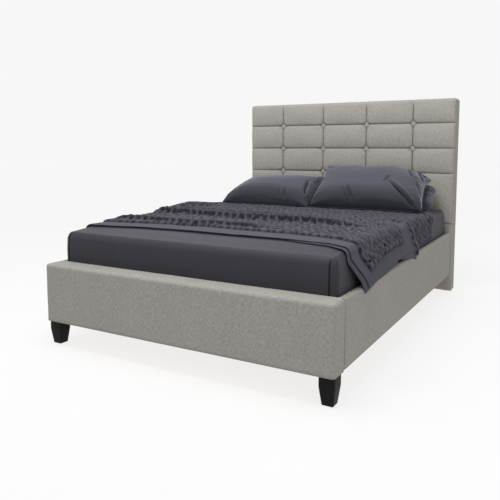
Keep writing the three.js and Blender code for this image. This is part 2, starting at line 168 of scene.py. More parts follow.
def with_lining(points, normals, quads, thickness):
    """Gives an open skin a thickness inwards, closed round its border."""
    return np.concatenate([points, points - normals * thickness]), two_sided(quads, len(points))


def grid_normals(grid):
    across = np.gradient(grid, axis=0)
    along = np.gradient(grid, axis=1)
    normals = np.cross(across, along)
    return normals / np.maximum(np.linalg.norm(normals, axis=-1, keepdims=True), 1e-12)


def cloth_sheet(grid, thickness):
    """A closed sheet round a grid of mid-surface points, thinner at its very edge so that it looks rolled."""
    rows, columns = grid.shape[:2]
    row, column = np.indices((rows, columns))
    from_edge = np.minimum.reduce([row, column, rows - 1 - row, columns - 1 - column])
    half = thickness / 2 * np.interp(from_edge, [0, 1, 2], [0.35, 0.85, 1])
    normals = grid_normals(grid)
    over = grid + normals * half[..., None]
    under = grid - normals * half[..., None]
    ids = np.arange(rows * columns).reshape(rows, columns)
    points = np.concatenate([over.reshape(-1, 3), under.reshape(-1, 3)])
    return points, two_sided(quads_of(ids), ids.size)


def project_uv(mesh):
    """UVs in metres, projected on each face's main direction, for the weaves."""
    loops, polygons = len(mesh.loops), len(mesh.polygons)
    corner = np.zeros(loops, np.int32)
    mesh.loops.foreach_get("vertex_index", corner)
    normal = np.zeros(polygons * 3, np.float32)
    mesh.polygons.foreach_get("normal", normal)
    total = np.zeros(polygons, np.int32)
    mesh.polygons.foreach_get("loop_total", total)
    place = np.zeros(len(mesh.vertices) * 3, np.float32)
    mesh.vertices.foreach_get("co", place)
    place = place.reshape(-1, 3)[corner]
    main = np.repeat(np.abs(normal.reshape(-1, 3)).argmax(axis=1), total)
    u = np.where(main == 0, place[:, 1], place[:, 0])
    v = np.where(main == 2, place[:, 1], place[:, 2])
    layer = mesh.uv_layers.new(name="weave")
    layer.data.foreach_set("uv", np.stack([u, v], axis=-1).astype(np.float32).ravel())


def piece(name, points, faces, material, body, slot, painted_shade=None):
    """A mesh piece with the given material, riding on a body. The optional last argument, from 0 to 1 by
    point, is painted shade in seams, creases and other shaded places, which the cloth finishes darken."""
    mesh = bpy.data.meshes.new(name)
    faces = faces.tolist() if isinstance(faces, np.ndarray) else faces
    mesh.from_pydata(np.asarray(points).tolist(), [], faces)
    mesh.update()
    mesh.shade_smooth()
    project_uv(mesh)
    mesh.materials.append(material)
    # painted shade by point, stored for the cloth finishes to darken by
    if painted_shade is not None:
        layer = mesh.attributes.new(SHADE_ATTRIBUTE, "FLOAT", "POINT")
        layer.data.foreach_set("value", np.asarray(painted_shade, np.float32).ravel())
    made = bpy.data.objects.new(name, mesh)
    scene.collection.objects.link(made)
    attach(made, body)
    return made


def tube(path, radius, sides=8, closed=False):
    """Points and quads of a round bead along a path of points."""
    path = np.asarray(path, float)
    ahead = np.roll(path, -1, axis=0) - np.roll(path, 1, axis=0) if closed else np.gradient(path, axis=0)
    ahead /= np.linalg.norm(ahead, axis=1, keepdims=True)
    side = np.cross(ahead, np.where(np.abs(ahead[:, 2:3]) > 0.9, [[1.0, 0, 0]], [[0, 0, 1.0]]))
    side /= np.linalg.norm(side, axis=1, keepdims=True)
    up = np.cross(side, ahead)
    angle = np.linspace(0, 2 * math.pi, sides, endpoint=False)
    ring = side[:, None] * np.cos(angle)[None, :, None] + up[:, None] * np.sin(angle)[None, :, None]
    size = np.full(len(path), radius, float)
    if not closed:
        size[[0, -1]] *= 0.2
    points = (path[:, None] + ring * size[:, None, None]).reshape(-1, 3)
    ids = np.arange(len(points)).reshape(len(path), sides)
    ids = np.concatenate([ids, ids[:, :1]], axis=1)
    if closed:
        ids = np.concatenate([ids, ids[:1]], axis=0)
    return points, quads_of(ids)[:, ::-1]


def joined(parts):
    """Several (points, quads) as one."""
    points, quads, shift = [], [], 0
    for part_points, part_quads in parts:
        points.append(part_points)
        quads.append(np.asarray(part_quads) + shift)
        shift += len(part_points)
    return np.concatenate(points), np.concatenate(quads)


# ---- materials ----

class Finish:
    """A principled material, its nodes added by short calls that return output sockets."""

    def __init__(self, name, **constants):
        self.material = bpy.data.materials.new(name)
        self.material.use_nodes = True
        self.tree = self.material.node_tree
        self.shader = self.tree.nodes["Principled BSDF"]
        for socket, value in constants.items():
            self.shader.inputs[socket.replace("_", " ")].default_value = value

    def add(self, kind, inputs=(), output=0, **settings):
        node = self.tree.nodes.new("ShaderNode" + kind)
        for key, value in settings.items():
            setattr(node, key, value)
        for key, value in dict(inputs).items():
            self.feed(node.inputs[key], value)
        return node.outputs[output]

    def feed(self, socket, value):
        if isinstance(value, bpy.types.NodeSocket):
            self.tree.links.new(value, socket)
        else:
            socket.default_value = value

    def place(self, source="Object", stretch=(1, 1, 1)):
        found = self.add("TexCoord", output=source)
        return self.add("Mapping", {"Vector": found, "Scale": stretch})

    def noise(self, where, scale, detail=2.0, roughness=0.5):
        return self.add("TexNoise", {"Vector": where, "Scale": scale, "Detail": detail,
                                     "Roughness": roughness})

    def threads(self, where, pitch, direction, wobble=0.0):
        """Ridges across one direction, one every pitch metres."""
        return self.add("TexWave", {"Vector": where, "Scale": math.pi / (10 * pitch), "Distortion": wobble,
                                    "Detail": 1.0, "Detail Scale": 2.0},
                        wave_type="BANDS", bands_direction=direction, output="Fac")

    def maths(self, operation, first, second=0.0):
        return self.add("Math", {0: first, 1: second}, operation=operation)

    def range(self, value, low, high, start=0.0, end=1.0):
        return self.add("MapRange", {"Value": value, "From Min": start, "From Max": end,
                                     "To Min": low, "To Max": high})

    def ramp(self, value, *stops):
        colour = self.add("ValToRGB", {"Fac": value})
        ramp = colour.node.color_ramp
        while len(ramp.elements) < len(stops):
            ramp.elements.new(0.5)
        for element, (position, shade) in zip(ramp.elements, stops):
            element.position = position
            element.color = (*shade, 1)
        return colour

    def blend(self, share, first, second, mode="MIX"):
        mix = self.add("Mix", data_type="RGBA", blend_type=mode)
        node = mix.node
        self.feed(node.inputs[0], share)
        self.feed(node.inputs[6], first)
        self.feed(node.inputs[7], second)
        return node.outputs[2]

    def tint(self, colour, value, low, high):
        """The colour, multiplied by a grey from low to high as value goes from 0.25 to 0.75."""
        grey = self.range(value, low, high, 0.25, 0.75)
        return self.blend(1.0, colour, self.add("CombineColor", {0: grey, 1: grey, 2: grey}), "MULTIPLY")

    def basket(self, pitch, wobble):
        """A plain weave: threads both ways over the UVs."""
        weave = self.place("UV")
        return self.maths("MULTIPLY", self.threads(weave, pitch, "X", wobble),
                          self.threads(weave, pitch, "Y", wobble))

    # Painted shade: blends the colour towards a dark one by the shade that a piece stores by point.
    def paint_shade(self, base, share, dark):
        painted_shade = self.add("Attribute", attribute_name=SHADE_ATTRIBUTE, output="Fac")
        return self.blend(self.range(painted_shade, 0.0, share), base, (*dark, 1))

    def bumps(self, *layers):
        """Bump layers, each (height, strength, distance in metres)."""
        normal = None
        for height, strength, distance in layers:
            inputs = {"Height": height, "Strength": strength, "Distance": distance}
            if normal is not None:
                inputs["Normal"] = normal
            normal = self.add("Bump", inputs)
        self.feed(self.shader.inputs["Normal"], normal)

    def colour(self, value):
        self.feed(self.shader.inputs["Base Color"], value)

    def rough(self, value, low, high):
        self.feed(self.shader.inputs["Roughness"], self.range(value, low, high, 0.25, 0.75))


def shade(red, green, blue):
    """Linear colour of an sRGB one given from 0 to 255."""
    return tuple(c / 12.92 if c <= 0.04045 else ((c + 0.055) / 1.055) ** 2.4
                 for c in (red / 255, green / 255, blue / 255))


def linen_finish():
    """Melange upholstery: light and dark yarns in a basket weave, with slubs, and painted shade where a piece
    marks it.
    """
    made = Finish("linen", Sheen_Weight=0.06, Sheen_Roughness=0.5, Specular_IOR_Level=0.1, Roughness=0.95)
    solid = made.place()
    yarn_across = made.noise(made.place("UV", (60, 520, 1)), 1.0, 3.0)
    yarn_up = made.noise(made.place("UV", (520, 60, 1)), 1.0, 3.0)
    yarn = made.maths("ADD", made.maths("MULTIPLY", yarn_across, 0.5), made.maths("MULTIPLY", yarn_up, 0.5))
    mottle = made.noise(solid, 230.0, 3.0, 0.65)
    broad = made.noise(solid, 3.5, 2.0)
    base = made.ramp(yarn, (0.36, shade(112, 108, 103)), (0.5, shade(134, 131, 126)),
                     (0.64, shade(154, 151, 146)))
    base = made.tint(base, mottle, 0.97, 1.03)
    base = made.tint(base, made.noise(made.place("UV", (9, 120, 1)), 1.0, 2.0), 0.975, 1.025)
    base = made.tint(base, made.noise(made.place("UV", (110, 6, 1)), 1.0, 2.0), 0.95, 1.05)
    base = made.tint(base, broad, 0.97, 1.03)
    basket = made.basket(2.4 * MM, 0.6)
    base = made.blend(made.range(basket, 0.12, 0.0), base, (0.04, 0.038, 0.035, 1))
    # painted shade: marked seams and button hollows darkened towards a dark brown-grey
    made.colour(made.paint_shade(base, 0.55, shade(60, 57, 53)))
    made.bumps((mottle, 0.25, 1.2 * MM), (basket, 0.5, 0.5 * MM), (yarn, 0.35, 0.4 * MM))
    return made.material


def bedding_finish(name, tone, sheen, nap_width, specular, roughness, weave_pitch=1.1 * MM):
    """Dark woven cotton or sateen, with a soft nap, slow changes of tone, and painted shade where a piece
    marks it.
    """
    made = Finish(name, Sheen_Weight=sheen, Sheen_Roughness=nap_width, Specular_IOR_Level=specular,
                  Sheen_Tint=(0.86, 0.87, 1.0, 1))
    solid = made.place()
    yarn = made.noise(made.place("UV", (120, 900, 1)), 1.0, 2.0)
    nap = made.noise(solid, 9.0, 3.0, 0.6)
    fine = made.noise(solid, 320.0, 2.0)
    base = made.ramp(yarn, (0.3, tuple(0.86 * c for c in tone)), (0.7, tuple(1.14 * c for c in tone)))
    base = made.tint(base, nap, 0.92, 1.08)
    # painted shade: marked seams, creases and shaded places darkened nearly to black
    made.colour(made.paint_shade(base, 0.9, [0.06 * c for c in tone]))
    made.rough(nap, roughness - 0.05, roughness + 0.05)
    made.bumps((fine, 0.12, 0.6 * MM), (made.basket(weave_pitch, 0.8), 0.25, 0.25 * MM))
    return made.material


def wood_finish(name, light, dark, axis, roughness=0.6, rings=26.0, knots=True):
    """Straight-grained timber, its grain along one axis, with pores and a few knots."""
    made = Finish(name, Specular_IOR_Level=0.4)
    stretch = [1.0, 1.0, 1.0]
    stretch["xyz".index(axis)] = 0.06
    along = made.place("Object", stretch)
    figure = made.noise(along, rings, 4.0, 0.6)
    bands = made.add("TexWave", {"Vector": along, "Scale": rings / 3, "Distortion": 6.0, "Detail": 3.0,
                                 "Detail Scale": 1.2}, wave_type="RINGS", rings_direction="Z", output="Fac")
    pores = made.noise(made.place("Object", [1 if s == 1 else 0.02 for s in stretch]), 900.0, 2.0)
    wash = made.noise(made.place(), 2.2, 2.0)
    between = tuple(0.5 * (a + b) for a, b in zip(light, dark))
    base = made.ramp(bands, (0.15, dark), (0.55, light), (0.9, between))
    base = made.tint(base, figure, 0.84, 1.12)
    base = made.tint(base, pores, 0.9, 1.06)
    base = made.tint(base, wash, 0.93, 1.07)
    if knots:
        long_spots = made.place("Object", [1 if s == 1 else 0.3 for s in stretch])
        spot = made.add("TexVoronoi", {"Vector": long_spots, "Scale": 2.6}, output="Distance")
        base = made.blend(made.range(spot, 0.85, 0.0, 0.015, 0.05), base, (*(0.35 * c for c in dark), 1))
    made.colour(base)
    made.rough(figure, roughness - 0.08, roughness + 0.08)
    made.bumps((figure, 0.2, 0.8 * MM), (pores, 0.25, 0.3 * MM))
    return made.material


def stained_finish():
    """Black-stained hardwood under satin lacquer, rubbed lighter on its arrises."""
    made = Finish("black_wood", Specular_IOR_Level=0.08)
    grain = made.noise(made.place("Object", (1, 1, 0.07)), 160.0, 4.0, 0.6)
    pores = made.noise(made.place("Object", (1, 1, 0.03)), 700.0, 2.0)
    base = made.ramp(grain, (0.3, (0.0035, 0.0033, 0.0033)), (0.7, (0.009, 0.0085, 0.0085)))
    worn = made.add("Bevel", {"Radius": 2.5 * MM}, samples=6)
    straight = made.add("NewGeometry", output="Normal")
    edge = made.add("VectorMath", {0: worn, 1: straight}, operation="DOT_PRODUCT", output="Value")
    made.colour(made.blend(made.range(edge, 0.35, 0.0, 0.8, 0.99), base, (0.05, 0.047, 0.045, 1)))
    made.rough(grain, 0.42, 0.56)
    made.bumps((grain, 0.2, 0.5 * MM), (pores, 0.3, 0.25 * MM))
    return made.material


def plywood_finish():
    """Birch plywood: flat-cut faces and thin plies on its edges."""
    made = Finish("plywood", Specular_IOR_Level=0.35)
    plies = made.threads(made.place(), 3.0 * MM, "Y")
    figure = made.noise(made.place("Object", (0.15, 1, 1)), 14.0, 4.0, 0.6)
    base = made.ramp(figure, (0.3, shade(196, 160, 112)), (0.7, shade(224, 192, 146)))
    made.colour(made.tint(base, plies, 0.88, 1.03))
    made.rough(figure, 0.6, 0.75)
    made.bumps((figure, 0.2, 0.5 * MM))
    return made.material


def steel_finish():
    """Zinc-plated steel with spangle, handling marks and a little dulling."""
    made = Finish("zinc_steel", Metallic=1.0)
    spangle = made.add("TexVoronoi", {"Vector": made.place(), "Scale": 90.0}, output="Color")
    marks = made.noise(made.place("Object", (1, 1, 6)), 60.0, 4.0, 0.7)
    base = made.blend(0.18, (0.56, 0.57, 0.59, 1), spangle, "SOFT_LIGHT")
    made.colour(made.tint(base, marks, 0.85, 1.06))
    made.rough(marks, 0.28, 0.5)
    made.bumps((marks, 0.15, 0.2 * MM))
    return made.material


def plastic_finish():
    """Moulded nylon with a fine spark texture."""
    made = Finish("black_nylon", Specular_IOR_Level=0.45)
    spark = made.noise(made.place(), 1400.0, 2.0)
    scuff = made.noise(made.place(), 70.0, 4.0, 0.7)
    made.colour(made.ramp(scuff, (0.35, (0.011, 0.011, 0.012)), (0.8, (0.03, 0.03, 0.032))))
    made.rough(scuff, 0.45, 0.62)
    made.bumps((spark, 0.35, 0.12 * MM))
    return made.material


def dust_cloth_finish():
    """Spun-bonded black dust cloth, point-bonded in a small diamond grid."""
    made = Finish("dust_cloth", Specular_IOR_Level=0.2, Sheen_Weight=0.1, Roughness=0.9)
    fibres = made.noise(made.place("Object", (1, 1, 0.4)), 420.0, 4.0, 0.7)
    cloud = made.noise(made.place(), 30.0, 3.0)
    points = made.add("TexVoronoi", {"Vector": made.place(), "Scale": 480.0, "Randomness": 0.0},
                      output="Distance")
    base = made.ramp(fibres, (0.3, (0.012, 0.012, 0.013)), (0.7, (0.032, 0.032, 0.034)))
    made.colour(made.tint(base, cloud, 0.85, 1.12))
    made.bumps((points, 0.4, 0.3 * MM), (fibres, 0.4, 0.3 * MM))
    return made.material


def ticking_finish():
    """Off-white damask ticking with woven stripes."""
    made = Finish("ticking", Sheen_Weight=0.15, Specular_IOR_Level=0.2, Roughness=0.9)
    stripes = made.threads(made.place(), 55 * MM, "X")
    twill = made.threads(made.place(), 1.6 * MM, "DIAGONAL", 0.4)
    cloud = made.noise(made.place(), 6.0, 2.0)
    base = made.ramp(stripes, (0.86, shade(221, 218, 210)), (0.93, shade(190, 188, 184)))
    base = made.tint(base, cloud, 0.96, 1.03)
    made.colour(base)
    made.bumps((twill, 0.4, 0.3 * MM))
    return made.material


def foam_finish():
    """Open-cell foam."""
    made = Finish("foam", Specular_IOR_Level=0.2, Roughness=0.95)
    cells = made.add("TexVoronoi", {"Vector": made.place(), "Scale": 700.0}, output="Distance")
    base = made.ramp(cells, (0.1, shade(205, 190, 140)), (0.6, shade(238, 228, 192)))
    made.colour(made.tint(base, made.noise(made.place(), 5.0, 2.0), 0.95, 1.04))
    made.bumps((cells, 0.5, 0.6 * MM))
    return made.material


LINEN = linen_finish()
SHEET_CLOTH = bedding_finish("sheet_sateen", shade(46, 45, 51), 0.15, 0.3, 0.12, 0.6)
QUILT_CLOTH = bedding_finish("coverlet_cloth", shade(64, 63, 71), 0.05, 0.3, 0.08, 0.8, 1.6 * MM)
PILLOW_CLOTH = bedding_finish("pillow_sateen", shade(64, 66, 73), 0.4, 0.3, 0.06, 0.7, 0.9 * MM)
PINE = {axis: wood_finish(f"pine_{axis}", shade(224, 190, 140), shade(188, 140, 88), axis) for axis in "xyz"}
BLACK_WOOD = stained_finish()
PLYWOOD = plywood_finish()
STEEL = steel_finish()
NYLON = plastic_finish()
DUST_CLOTH = dust_cloth_finish()
TICKING = ticking_finish()
FOAM = foam_finish()


# ---- headboard ----

COVER = 3 * MM
SEAM_FLOOR = 8 * MM                 # how far the stitched seams lie behind the panels' edges
PANEL_CROWN = 14 * MM
FRONT_PADDING = 3 * MM              # how far the whole front stands out past the seams
BUTTON_PULL = 6 * MM
BUTTON_SEAT = 11 * MM               # how far behind the headboard's front plane a button sits
FOLDS_ROUND_BUTTON = 8
FOLD_DEPTH = 1.6 * MM
SEAM_DIP = 2.0 * MM                 # the extra pull along a seam near its button
HEAD_EDGE = 20 * MM

tuft_nodes = [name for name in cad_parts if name.startswith("button_")]
tuft_boxes = {name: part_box(name) for name in tuft_nodes}
tuft_centres = {name: ((low.x + high.x) / 2, (low.z + high.z) / 2)
                for name, (low, high) in tuft_boxes.items()}
TUFT_X = sorted({round(x, 4) for x, _ in tuft_centres.values()})
TUFT_Z = sorted({round(z, 4) for _, z in tuft_centres.values()})
head_low, head_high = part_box("headboard_cover")
LOWEST_SEAM = 0.490
SEAM_TOP = head_high.z - 0.03


def panel_share(values, borders, power):
    """0 on each border, rising to 1 halfway between two of them."""
    borders = np.array(borders)
    index = np.clip(np.searchsorted(borders, values) - 1, 0, len(borders) - 2)
    t = np.clip((values - borders[index]) / (borders[index + 1] - borders[index]), 0, 1)
    return np.clip(4 * t * (1 - t), 0, 1) ** power


def seam_pull(distance):
    return 0.75 * np.exp(-distance / (3 * MM)) + 0.25 * np.exp(-distance / (12 * MM))


def tufting(points):
    """How far the headboard's front stands out at points on it."""
    x, z = points[:, 0], points[:, 2]
    columns = [head_low.x, *TUFT_X, head_high.x]
    rows = [LOWEST_SEAM, *TUFT_Z, head_high.z]
    tufted = smoothstep(z, LOWEST_SEAM - 4 * MM, LOWEST_SEAM + 4 * MM)
    crown = panel_share(x, columns, 0.5) * panel_share(z, rows, 0.85) * PANEL_CROWN * tufted
    column_pull = seam_pull(nearest(x, TUFT_X)) * tufted * (1 - smoothstep(z, SEAM_TOP - 20 * MM, SEAM_TOP))
    row_pull = seam_pull(nearest(z, [LOWEST_SEAM, *TUFT_Z]))
    pull = np.maximum(column_pull * 0.85, row_pull) * SEAM_FLOOR
    dimple = np.zeros(len(points))
    for centre_x, centre_z in tuft_centres.values():
        dx, dz = x - centre_x, z - centre_z
        distance = np.hypot(dx, dz)
        angle = np.arctan2(dz, dx)
        dimple += bell(distance, 28 * MM) * BUTTON_PULL
        folds = np.cos(FOLDS_ROUND_BUTTON * angle) * bell(distance - 32 * MM, 22 * MM)
        dimple += FOLD_DEPTH * folds
        along_seam = bell(np.minimum(np.abs(dx), np.abs(dz)), 7 * MM) * bell(distance, 75 * MM)
        dimple += SEAM_DIP * along_seam
    tension = 1.0 * MM * noise(points, (0.16, 1, 0.05), 3) + 0.6 * MM * noise(points, (0.06, 1, 0.09), 4)
    return crown - pull - dimple + tension


def seam_shadow(points):
    """Painted shade: 1 in the headboard's seams and round its buttons, and 0 elsewhere."""
    x, z = points[:, 0], points[:, 2]
    across_rows = 0.9 * bell(nearest(x, TUFT_X), 3 * MM) * (1 - smoothstep(z, SEAM_TOP - 20 * MM, SEAM_TOP))
    shadow = np.maximum(across_rows * smoothstep(z, LOWEST_SEAM - 4 * MM, LOWEST_SEAM + 4 * MM),
                        0.65 * bell(nearest(z, [LOWEST_SEAM, *TUFT_Z]), 2.5 * MM))
    for centre_x, centre_z in tuft_centres.values():
        shadow = np.maximum(shadow, bell(np.hypot(x - centre_x, z - centre_z) - 20 * MM, 5 * MM))
    return shadow * (points[:, 1] < head_low.y + 30 * MM)


def headboard_skin(inset):
    """The headboard's outside, inset by the layers above: an open-backed skin."""
    low = np.array([head_low.x + inset, head_low.y + inset, head_low.z])
    high = np.array([head_high.x - inset, head_high.y - 1.8 * MM, head_high.z - inset])
    edge = HEAD_EDGE - inset / 2
    lines = (
        grid_lines(low[0], high[0], edge, edge, 0.0125, TUFT_X),
        grid_lines(low[1], high[1], edge, 0, 0.02),
        grid_lines(low[2], high[2], 0, edge, 0.0125, [LOWEST_SEAM, *TUFT_Z]),
    )
    points, normals, quads = rounded_skin(lines, (edge, edge, 0), (edge, 0, edge), ("+y", "-z"))
    front = smoothstep(-normals[:, 1], 0.15, 0.95)
    field = tufting(points) + FRONT_PADDING
    points = points - np.array([0, 1, 0]) * (field * front)[:, None]
    plain = 1 - front
    points += normals * (0.5 * MM * noise(points, 0.12, 5) * plain)[:, None]
    return points, normals, quads


def padded_layer(name, skin, thickness, material, slot, node, painted_shade=None):
    """One padded layer of upholstery from an open skin, in a CAD node's place."""
    made = piece(name, *with_lining(*skin, thickness), material, "frame", slot, painted_shade)
    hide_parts(node)


def build_headboard():
    skin = headboard_skin(0.0)
    # the upholstery carries painted shade in its seams and round its buttons
    padded_layer("headboard_upholstery", skin, COVER, LINEN, "linen", "headboard_cover",
                 np.tile(seam_shadow(skin[0]), 2))
    points, normals, quads = headboard_skin(COVER + 0.3 * MM)
    points[:, 1] = np.minimum(points[:, 1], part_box("headboard_foam")[1].y)
    padded_layer("headboard_padding", (points, normals, quads), 12 * MM, FOAM, "foam", "headboard_foam")


build_headboard()


def lathe(profile, sides=28):
    """Points and faces of a shape turned about Z, from (radius, height) points; first and last are poles."""
    angle = np.linspace(0, 2 * math.pi, sides, endpoint=False)
    ring = np.stack([np.cos(angle), np.sin(angle)], axis=-1)
    points = [[0, 0, profile[0][1]]]
    for radius, height in profile[1:-1]:
        points.extend(np.column_stack([ring * radius, np.full(sides, height)]).tolist())
    points.append([0, 0, profile[-1][1]])
    faces, rings = [], len(profile) - 2
    for side in range(sides):
        after = (side + 1) % sides
        faces.append([0, 1 + after, 1 + side])
        for level in range(rings - 1):
            base = 1 + level * sides
            faces.append([base + side, base + after, base + sides + after, base + sides + side])
        faces.append([len(points) - 1, 1 + (rings - 1) * sides + side, 1 + (rings - 1) * sides + after])
    return np.array(points, float), faces


def build_buttons():
    """Fabric-covered buttons: a full dome drawn over a mould, with its rolled rim and pleats behind."""
    radius = 19.5 * MM
    profile = [(0, 9.5), (4.5, 9.2), (9, 8.3), (13.2, 6.8), (17, 4.3), (19.1, 1.7), (19.5, 0.2), (18.4, -1.4),
               (15.5, -2.4), (9, -2.6), (0, -2.6)]
    for name, (low, high) in tuft_boxes.items():
        points, faces = lathe([(r * MM, h * MM) for r, h in profile])
        angle = np.arctan2(points[:, 1], points[:, 0])
        reach = np.hypot(points[:, 0], points[:, 1]) / radius
        pleats = np.cos(9 * angle + high.x * 40) * smoothstep(reach, 0.75, 1)
        points[:, :2] *= 1 + 0.018 * pleats[:, None]
        x, z = tuft_centres[name]
        seat = head_low.y + BUTTON_SEAT
        placed = np.column_stack([x + points[:, 0], seat - points[:, 2], z + points[:, 1]])
        row, column = name.split("_")[1:]
        cap = piece(f"tuft_button_{row}_{column}", placed, faces, LINEN, "frame", "linen")
        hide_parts(name)


build_buttons()


# ---- footboard ----

def slack_fabric(points):
    """Small unevenness of fabric pulled over foam."""
    broad = 0.9 * MM * noise(points, (0.3, 0.3, 0.09), 11)
    return broad + 0.5 * MM * noise(points, 0.07, 12) - 0.9 * MM


def soft_block(node, near, far, skip, step):
    """A rounded skin on a node's box, a little uneven."""
    low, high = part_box(node)
    lines = [grid_lines(low[a], high[a], near[a], far[a], step) for a in range(3)]
    points, normals, quads = rounded_skin(lines, near, far, skip)
    return points + normals * slack_fabric(points)[:, None], normals, quads


def build_footboard():
    edge = 19 * MM
    skin = soft_block("footboard_cover", (edge, edge, 0), (edge, 5 * MM, edge), ("-z",), 0.016)
    padded_layer("footboard_upholstery", skin, COVER, LINEN, "linen", "footboard_cover")
    edge = 16 * MM
    skin = soft_block("footboard_foam", (edge, edge, 0), (edge, 0, edge), ("-z", "+y"), 0.03)
    padded_layer("footboard_padding", skin, 11 * MM, FOAM, "foam", "footboard_foam")


build_footboard()


# ---- side rails ----

def rounded_path(corners, radii, step=6 * MM):
    """Points along straight runs between corners, each corner rounded by its radius."""
    corners = [np.array(corner, float) for corner in corners]
    path = [corners[0]]
    for before, corner, after, radius in zip(corners, corners[1:], corners[2:], radii):
        into = (before - corner) / np.linalg.norm(before - corner)
        out = (after - corner) / np.linalg.norm(after - corner)
        for share in np.linspace(0, 1, 6):
            start, end = corner + into * radius, corner + out * radius
            path.append((1 - share) ** 2 * start + 2 * share * (1 - share) * corner + share ** 2 * end)
    path = np.array(path + [corners[-1]])
    length = np.concatenate([[0], np.cumsum(np.linalg.norm(np.diff(path, axis=0), axis=1))])
    even = np.linspace(0, length[-1], int(length[-1] / step) + 1)
    return np.column_stack([np.interp(even, length, path[:, a]) for a in range(2)])


def build_rail_cover(side, sign):
    """The rail's fabric: over its top, down its outside, and back a little way up its inside."""
    low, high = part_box(f"rail_cover_{side}")
    half = 1.9 * MM
    outer, inner = sorted((abs(low.x), abs(high.x)), reverse=True)
    outer, inner, bottom, top = outer - half, inner + half, low.z + half, high.z - half
    turn_back = 40 * MM
    line = rounded_path([(inner, top - turn_back), (inner, top), (outer, top), (outer, bottom),
                         (inner, bottom), (inner, bottom + turn_back)],
                        [13 * MM, 15 * MM, 5 * MM, 5 * MM])
    along = grid_lines(low.y, high.y, step=0.016)
    grid = np.empty((len(line), len(along), 3))
    grid[..., 0] = sign * line[:, 0, None]
    grid[..., 1] = along
    grid[..., 2] = line[:, 1, None]
    ease = np.minimum(smoothstep(along, low.y, low.y + 0.05), smoothstep(-along, -high.y, -high.y + 0.05))
    swell = 0.8 * MM * (noise(grid, (0.2, 0.35, 0.06), 21) - 0.4) * (0.3 + 0.7 * ease)
    grid += grid_normals(grid) * (sign * swell)[..., None]
    cover = piece(f"rail_upholstery_{side}", *cloth_sheet(grid, 2 * half), LINEN, "frame", "linen")
    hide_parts(f"rail_cover_{side}")


for side, sign in SIDES:
    build_rail_cover(side, sign)


# ---- legs ----

def build_leg(side):
    """A tapered hardwood leg with eased arrises."""
    low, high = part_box(f"front_leg_{side}")
    arris = 2.2 * MM
    straight = 48 * MM
    foot_share = 0.7
    lines = [grid_lines(low[a], high[a], arris, arris, 0.012) for a in range(3)]
    points, normals, quads = rounded_skin(lines, (arris,) * 3, (arris,) * 3)
    middle = (low + high) / 2
    share = np.interp(points[:, 2], [low.z, high.z - straight, high.z], [foot_share, 1, 1])
    points[:, 0] = middle.x + (points[:, 0] - middle.x) * share
    points[:, 1] = middle.y + (points[:, 1] - middle.y) * share
    leg = piece(f"turned_leg_{side}", points, quads, BLACK_WOOD, "frame", "black_wood")
    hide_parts(f"front_leg_{side}")


for side, _ in SIDES:
    build_leg(side)


# ---- timber, steel and plastic that the CAD already shapes ----

def finish_nodes():
    """Materials for the CAD nodes that stay, by the start of their names."""
    finishes = (
        ("headboard_panel", PLYWOOD), ("headboard_post", PINE["z"]), ("headboard_top_rail", PINE["x"]),
        ("headboard_bottom_rail", PINE["x"]), ("headboard_back_cloth", DUST_CLOTH),
        ("footboard_box", PLYWOOD), ("footboard_bottom_batten", PINE["x"]), ("leg_plate", STEEL),
        ("side_rail", PINE["y"]), ("slat_ledger", PINE["y"]), ("corner_bracket", STEEL),
        ("centre_beam", PINE["y"]), ("beam_hanger", STEEL), ("centre_leg", PINE["z"]),
        ("levelling_foot", NYLON), ("slat_", PINE["x"]),
    )
    for name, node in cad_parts.items():
        for start, finish in finishes:
            if name.startswith(start):
                node.data.materials.clear()
                node.data.materials.append(finish)
                break


finish_nodes()


# ---- mattress and fitted sheet ----

sheet_low, sheet_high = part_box("fitted_sheet")
MATTRESS_EDGE = 24 * MM             # how far in from the sides the sheet rounds over
MATTRESS_DROP = 36 * MM             # how far down from the top that rounding reaches
CORNER_SEAM = 27 * MM               # how far in from the sides the sheet's end seams lie
SEAM_GROOVE = 1.2 * MM
FOOT_SLOPE = 13 * MM
HEAD_SHADE = 0.42                   # how much painted shade the sheet takes near the headboard
BED_TOP = sheet_high.z
SHEET_HALF = sheet_high.x


def build_mattress():
    """A quilted mattress in ticking, with piping round its top and bottom edges. It rounds over more
    than the sheet does, so that it stays inside the sheet at the corners."""
    low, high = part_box("mattress")
    edge, drop = MATTRESS_EDGE + 6 * MM, MATTRESS_DROP + 8 * MM
    lines = [grid_lines(low.x, high.x, edge, edge, 0.03), grid_lines(low.y, high.y, edge, edge, 0.03),
             grid_lines(low.z, high.z, edge, drop, 0.03)]
    points, normals, quads = rounded_skin(lines, (edge,) * 3, (edge, edge, drop))
    flat = np.abs(normals[:, 2])
    quilt = np.cos(points[:, 0] * 2 * math.pi / 0.24) * np.cos(points[:, 1] * 2 * math.pi / 0.24)
    points += normals * ((quilt - 1) * 1.5 * MM * flat)[:, None]
    points[:, 2] -= foot_slope(points)
    body = [(points, quads)]
    for level in (low.z + edge, high.z - drop - 10 * MM):
        body.append(tube(round_rectangle(low, high, 3.5 * MM, edge, level), 3.5 * MM, closed=True))
    made = piece("quilted_mattress", *joined(body), TICKING, "mattress", "ticking")
    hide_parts("mattress")


def round_rectangle(low, high, inset, radius, level):
    """Points of a rectangle with rounded corners round a box, at one height."""
    path = []
    for quarter, (x, y) in enumerate(((high.x, high.y), (low.x, high.y), (low.x, low.y), (high.x, low.y))):
        centre = (x - math.copysign(radius + inset, x),
                  y - math.copysign(radius + inset, y - (low.y + high.y) / 2))
        for step in range(7):
            angle = math.radians(90 * quarter + 15 * step)
            path.append((centre[0] + radius * math.cos(angle), centre[1] + radius * math.sin(angle), level))
    return path


